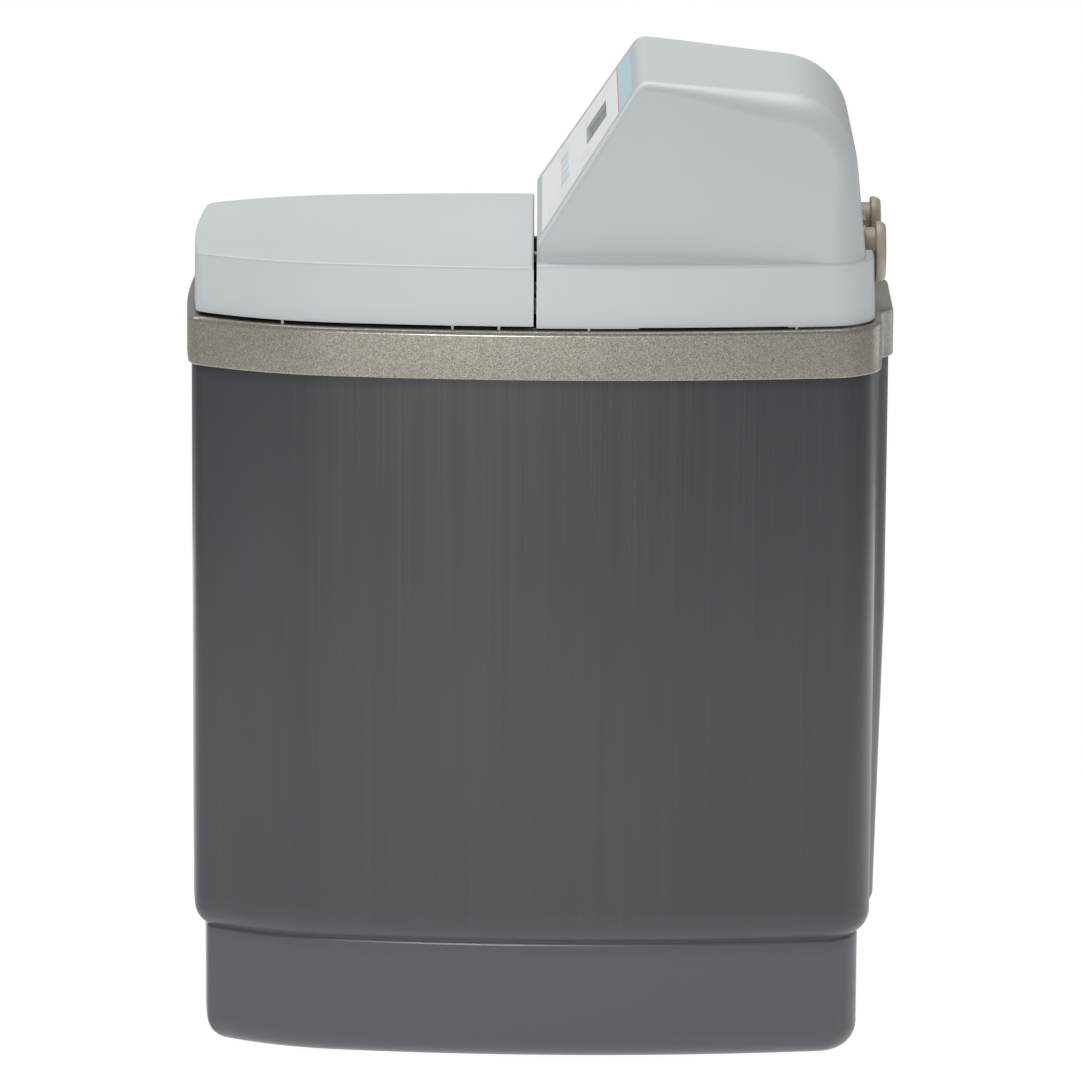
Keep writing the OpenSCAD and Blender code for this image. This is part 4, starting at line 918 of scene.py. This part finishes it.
def makeDome(name, inset, low):
    samples = domeProfile(low)
    rings = []
    steps = domeSteps["edge"]
    for k in range(steps + 1):
        turn = math.pi / 2 * (1 - k / steps)
        one = []
        for y, z, angle in samples:
            full = edgeRound(y, z, angle)
            radius = max(full - inset, cover["edgeLeast"])
            pull = inset + radius * (1 - math.cos(turn))
            py = y - pull * math.cos(angle)
            pz = z - pull * math.sin(angle) if z > low + cover["footGap"] else z
            wide = domeHalf(py, pz) - inset / math.cos(sideTurn)
            one.append((wide - radius * (1 - math.sin(turn)), py, pz))
        rings.append(one)
    rings += [[(-x, y, z) for x, y, z in one] for one in reversed(rings)]
    count = len(samples)
    points = [p for one in rings for p in one]
    faces = [tuple(range(count)), tuple(range((len(rings) - 1) * count, len(rings) * count))]
    for k in range(len(rings) - 1):
        for i in range(count - 1):
            a = k * count + i
            faces.append((a, a + 1, a + count + 1, a + count))
    front = [k * count for k in range(len(rings))]
    rear = [k * count + count - 1 for k in range(len(rings))]
    faces.append(tuple(front + list(reversed(rear))))
    return addMesh(name, points, faces)


def skirtOutline(inset, front):
    half = [(0.0, front)]
    start = sideAngle(front, inset)
    wide = sideCentre.x + (plan["sideArc"] - inset) * math.cos(start)
    half += [(wide * t, front) for t in (0.2, 0.4, 0.6, 0.8, 0.97)]
    half += arc(sideCentre, plan["sideArc"] - inset, start, sideEnd, 14)
    half += arc(rearCorner, plan["rearCorner"] - inset, sideEnd, math.pi / 2, 14, 1)
    half += [(half[-1][0] * t, plan["rear"] - inset) for t in (0.7, 0.4, 0.0)]
    return mirrored(half)


def makeSkirt(name, grow, low, high, front, rounding):
    bottom = cover["skirtIn"] + grow
    upper = bottom + cover["draft"]
    rings = [[(x, y, low) for x, y in skirtOutline(bottom, front)]]
    if rounding:
        for inward, drop in quarter(cover["edge"], domeSteps["skirt"]):
            flat = skirtOutline(upper + inward, front)
            rings.append([(x, y, high - drop) for x, y in flat])
    else:
        rings.append([(x, y, high) for x, y in skirtOutline(upper, front)])
    return loft(name, rings)


def onSlope(s):
    y = cover["browPoint"][0] + s * slopeUp[0]
    z = cover["browPoint"][1] + s * slopeUp[1]
    tilt = Matrix.Rotation(math.radians(90 - cover["slopeLean"]), 4, "X")
    return Matrix.Translation((0.0, y, z)) @ tilt


slopeLength = (cover["top"] - cover["brow"]) / slopeUp[1]
panel = {"middle": slopeLength / 2 - 2, "length": 110.0, "margin": 15.0, "fit": 0.25, "thick": 1.2,
         "clear": 6.0, "cutDeep": 8.0, "cutHigh": 2.0, "display": (62.0, 24.0), "displayAt": 12.0,
         "displayLap": 3.0, "button": (16.0, 10.0), "buttonAt": -26.0, "buttonGap": 0.5,
         "buttonX": (-39.0, -13.0, 13.0, 39.0), "proud": 0.6}


def slopeHalf(s):
    height = cover["brow"] - cover["skirtTop"] + s * slopeUp[1]
    return cover["half"] - height * math.tan(sideTurn)


def panelCut():
    low = panel["middle"] - panel["length"] / 2 - panel["fit"]
    high = panel["middle"] + panel["length"] / 2 + panel["fit"]
    wideLow = slopeHalf(low) - panel["margin"] + panel["fit"]
    wideHigh = slopeHalf(high) - panel["margin"] + panel["fit"]
    flat = [(-wideLow, low), (wideLow, low), (wideHigh, high), (-wideHigh, high)]
    place = onSlope(0.0)
    levels = (-panel["thick"], panel["clear"])
    return loft("panelCut", [[place @ Vector((x, s, z)) for x, s in flat] for z in levels])


def plateCut(name, width, length, s, x=0.0):
    return block(name, (x - width / 2, -length / 2, -panel["cutDeep"]),
                 (x + width / 2, length / 2, panel["cutHigh"]), onSlope(s))


arm = {"eye": 4.2, "low": 5.0, "high": 10.0, "lap": 1.5, "postLow": 1.0, "postIn": 1.2, "bore": 2.0,
       "boreReach": 12.0}


def hingeArm(side):
    x = side * lid["hingeX"]
    half = lid["hingeWidth"] / 2
    low = coverLow.z + arm["low"]
    y = lid["hingeY"]
    front = y - arm["eye"]
    obj = block("arm", (x - half, front, low),
                (x + half, cover["frontWall"] + arm["lap"], low + arm["high"]))
    post = block("armPost", (x - half, front, low + arm["postLow"]),
                 (x + half, y + arm["eye"] - arm["postIn"], lid["hingeZ"]))
    combine(obj, post, "UNION")
    return combine(obj, rodAlongX("armEye", x - half, x + half, arm["eye"]), "UNION")


# Cuts in the cover: an opening for the pipes, and a shallow relief under both sides of the skirt
pipeGate = {"half": 70.3, "front": 180.0, "rear": 260.0, "top": 574.3, "round": 2.0}
relief = {"half": 200.0, "reach": 50.0, "shift": 8.0, "high": 0.7}
cutBelow = 1.0


def makeCover():
    low = coverLow.z
    obj = makeDome("valveCover", 0.0, cover["skirtTop"] - cover["domeLow"])
    combine(obj, makeSkirt("skirt", 0.0, low, cover["skirtTop"], cover["frontWall"], True), "UNION")
    inside = makeDome("domeInside", cover["shell"], cover["skirtTop"] - cover["insideLow"])
    combine(obj, inside, "DIFFERENCE")
    room = makeSkirt("skirtInside", cover["shell"], low - cutBelow, cover["skirtTop"] - cover["shell"],
                     cover["frontWall"] + cover["shell"], False)
    combine(obj, room, "DIFFERENCE")
    gate = block("gate", (-pipeGate["half"], pipeGate["front"], low - cutBelow),
                 (pipeGate["half"], pipeGate["rear"], pipeGate["top"]), bevel=pipeGate["round"])
    combine(obj, gate, "DIFFERENCE")
    middle = (cover["frontWall"] + cover["rear"]) / 2 + relief["shift"]
    notch = block("notch", (-relief["half"], middle - relief["reach"], low - cutBelow),
                  (relief["half"], middle + relief["reach"], low + relief["high"]))
    combine(obj, notch, "DIFFERENCE")
    combine(obj, panelCut(), "DIFFERENCE")
    wide, long = [size - panel["displayLap"] for size in panel["display"]]
    combine(obj, plateCut("displayCut", wide, long, panel["middle"] + panel["displayAt"]), "DIFFERENCE")
    wide, long = [size + panel["buttonGap"] for size in panel["button"]]
    for x in panel["buttonX"]:
        cut = plateCut("buttonCut", wide, long, panel["middle"] + panel["buttonAt"], x)
        combine(obj, cut, "DIFFERENCE")
    for side in (-1, 1):
        combine(obj, hingeArm(side), "UNION")
    for side in (-1, 1):
        x = side * lid["hingeX"]
        cut = rodAlongX("pinCut", x - arm["boreReach"], x + arm["boreReach"], arm["bore"])
        combine(obj, cut, "DIFFERENCE")
    dress(obj, "cover_plastic", "cabinet", "valve_cover")


makeCover()
print("cover ready")

# Push buttons with rounded caps, each on its own body
keys = {"button_menu": "menu_key", "button_down": "down_key", "button_up": "up_key",
        "button_recharge": "recharge_key"}
button = {"keeper": -3.3, "capDeep": 1.0, "capRound": 0.9, "capSteps": 4, "flange": 1.5, "flangeDeep": 1.7,
          "stemHalf": 2.0, "stemLow": -11.4, "stemLap": 1.5, "stemRound": 0.8, "stemSteps": 2}


def makeButton(node, x):
    halfX, halfY = [size / 2 for size in panel["button"]]
    place = onSlope(panel["middle"] + panel["buttonAt"])
    keeper = button["keeper"]
    cap = block(node + "Cap", (x - halfX, -halfY, keeper - button["capDeep"]),
                (x + halfX, halfY, panel["proud"]), place, button["capRound"], button["capSteps"])
    lap = button["flange"]
    flange = block("flange", (x - halfX - lap, -halfY - lap, keeper - button["flangeDeep"]),
                   (x + halfX + lap, halfY + lap, keeper), place)
    combine(cap, flange, "UNION")
    half = button["stemHalf"]
    stem = block("stem", (x - half, -half, button["stemLow"]), (x + half, half, keeper - button["stemLap"]),
                 place, button["stemRound"], button["stemSteps"])
    combine(cap, stem, "UNION")
    dress(cap, "button_plastic", keys[node], node)


for node, x in zip(keys, panel["buttonX"]):
    makeButton(node, x)

# Pipe adaptors: turned collars with a soft outer face
adaptor = {"bore": 11.1, "mouth": 1.0, "spigot": 14.4, "tip": 13.6, "tipLong": 0.8, "back": 19.5,
           "flange": 20.0, "flangeLong": 3.0, "flangeTurn": 0.4, "neck": 16.5, "collar": 7.0,
           "collarEdge": 0.6, "bulge": 5.0, "bulgeTurn": 60.0, "bulgeSteps": 8}


def makeAdaptor(name, node):
    look = adaptor
    low, high = span(node)
    x = (low.x + high.x) / 2
    z = (low.z + high.z) / 2
    collar = (high.x - low.x) / 2
    end = high.y
    start = low.y
    barrel = end - look["back"]
    flangeEnd = barrel + look["flangeLong"]
    collarStart = end - look["collar"]
    edge = look["collarEdge"]
    profile = [(look["bore"], start), (look["tip"], start), (look["spigot"], start + look["tipLong"]),
               (look["spigot"], barrel), (look["flange"], barrel), (look["flange"], flangeEnd),
               (look["neck"], flangeEnd + look["flangeTurn"]), (look["neck"], collarStart),
               (collar - edge, collarStart), (collar, collarStart + edge)]
    bulge = look["bulge"]
    full = math.radians(look["bulgeTurn"])
    for i in range(look["bulgeSteps"] + 1):
        a = full * i / look["bulgeSteps"]
        height = bulge * math.sin(a) / math.sin(full)
        profile.append((collar - bulge * (1 - math.cos(a)), end - bulge + height))
    profile += [(look["bore"] + look["mouth"], end), (look["bore"], end - look["mouth"])]
    obj = lathe(name, profile, (x, 0.0, z))
    dress(obj, "valve_plastic", "cabinet", node)


makeAdaptor("inletAdaptor", "inlet_adaptor")
makeAdaptor("outletAdaptor", "outlet_adaptor")


# Brine hose: a tube swept by Geometry Nodes along the same run as in the source
hose = {"start": (-67.5, 57.0, 530.0), "end": (-60.0, -35.0, 486.0), "radius": 4.7, "steps": 40, "sides": 24}


def hoseTree():
    tree, source = newTree("sweepHose", "Radius", "NodeSocketFloat")
    run = tree.nodes.new("GeometryNodeMeshToCurve")
    circle = tree.nodes.new("GeometryNodeCurvePrimitiveCircle")
    circle.inputs["Resolution"].default_value = hose["sides"]
    sweep = tree.nodes.new("GeometryNodeCurveToMesh")
    sweep.inputs["Fill Caps"].default_value = True
    join = tree.links.new
    join(source.outputs["Geometry"], run.inputs["Mesh"])
    join(source.outputs["Radius"], circle.inputs["Radius"])
    join(run.outputs["Curve"], sweep.inputs["Curve"])
    join(circle.outputs["Curve"], sweep.inputs["Profile Curve"])
    paintOut(tree, source, sweep.outputs["Mesh"])
    return tree


def makeHose():
    first = Vector(hose["start"])
    last = Vector(hose["end"])
    points = []
    for i in range(hose["steps"] + 1):
        t = i / hose["steps"]
        k = ease(t)
        points.append(Vector((first.x + (last.x - first.x) * k, first.y + (last.y - first.y) * t,
                              first.z + (last.z - first.z) * k)) * mm)
    mesh = bpy.data.meshes.new("brineHose")
    mesh.from_pydata(points, [(i, i + 1) for i in range(hose["steps"])], [])
    obj = addObject("brineHose", mesh)
    growBy(obj, hoseTree(), "Radius", hose["radius"] * mm, "white_plastic")
    dress(obj, "white_plastic", "cabinet", "brine_hose")


makeHose()
print("small pieces ready")

# Studio: a glowing white floor with a faint shadow, which also shows in the part's sheen,
# a white world and soft lamps
white = (1.0, 1.0, 1.0, 1.0)
studio = {"floor": 1.4, "floorDrop": 0.2, "paper": (0.95, 0.95, 0.95, 1.0), "paperRough": 0.9, "table": 0.75,
          "shadow": (0.86, 1.0), "shadowSpan": (0.2, 0.8), "sheen": (1.4, 0.05), "sheenSpan": (0.35, 1.4),
          "world": 0.26, "lampAim": (0.0, 0.0, 0.35),
          "lamps": [("keyLamp", (3.3, -0.4, 0.78), 0.6, 34.0), ("fillLamp", (3.4, 1.1, 0.95), 0.8, 1.0),
                    ("topLamp", (-0.75, -0.1, 3.2), 2.2, 70.0),
                    ("frontLamp", (-1.0, -3.0, 3.0), 1.6, 32.0), ("rearLamp", (-1.7, 2.6, 0.5), 1.4, 5.0)]}


def makeFloor():
    half = studio["floor"] / mm
    corners = [(-half, -half), (half, -half), (half, half), (-half, half)]
    points = [(x, y, -studio["floorDrop"]) for x, y in corners]
    obj = addMesh("floor", points, [(0, 1, 2, 3)], tidy=False)
    finish = Finish("floorPaper", **{"Roughness": studio["paperRough"], "Emission Color": white,
                                     "Emission Strength": studio["table"], "Base Color": studio["paper"]})
    spot = finish.add("ShaderNodeTexCoord", out="Object")
    away = finish.add("ShaderNodeVectorMath", {"operation": "LENGTH"}, {0: spot}, "Value")
    clear = finish.spread(away, *studio["shadow"], *studio["shadowSpan"])
    seen = finish.add("ShaderNodeLightPath", out="Is Camera Ray")
    reflected = finish.add("ShaderNodeLightPath", out="Is Glossy Ray")
    sheen = finish.spread(away, *studio["sheen"], *studio["sheenSpan"])
    glow = finish.add("ShaderNodeEmission", None, {"Color": white, "Strength": 1.0})
    shell = Wire(finish, finish.surface.outputs[0])
    blend = finish.add("ShaderNodeMixShader", None,
                       {0: seen * clear + reflected * sheen, 1: shell, 2: glow})
    finish.tree.links.new(blend.socket, finish.tree.nodes["Material Output"].inputs["Surface"])
    obj.data.materials.append(finish.material)
    return obj


def makeWorld():
    world = bpy.data.worlds.new("studioWorld")
    world.use_nodes = True
    tree = world.node_tree
    glow = tree.nodes["Background"]
    glow.inputs["Color"].default_value = white
    path = tree.nodes.new("ShaderNodeLightPath")
    level = tree.nodes.new("ShaderNodeMapRange")
    level.inputs["To Min"].default_value = studio["world"]
    level.inputs["To Max"].default_value = 1.0
    tree.links.new(path.outputs["Is Camera Ray"], level.inputs["Value"])
    tree.links.new(level.outputs["Result"], glow.inputs["Strength"])
    scene.world = world


def makeLamps():
    made = []
    for name, place, size, power in studio["lamps"]:
        data = bpy.data.lights.new(name, "AREA")
        data.shape = "SQUARE"
        data.size = size
        data.energy = power
        obj = addObject(name, data)
        obj.location = place
        sight = Vector(studio["lampAim"]) - Vector(place)
        obj.rotation_euler = sight.to_track_quat("-Z", "Y").to_euler()
        made.append(obj)
    return made


floor = makeFloor()
makeWorld()
makeLamps()
scene.view_settings.view_transform = "Standard"
scene.view_settings.look = "None"
scene.view_settings.exposure = 0.0
scene.view_settings.gamma = 1.0
print("studio ready")
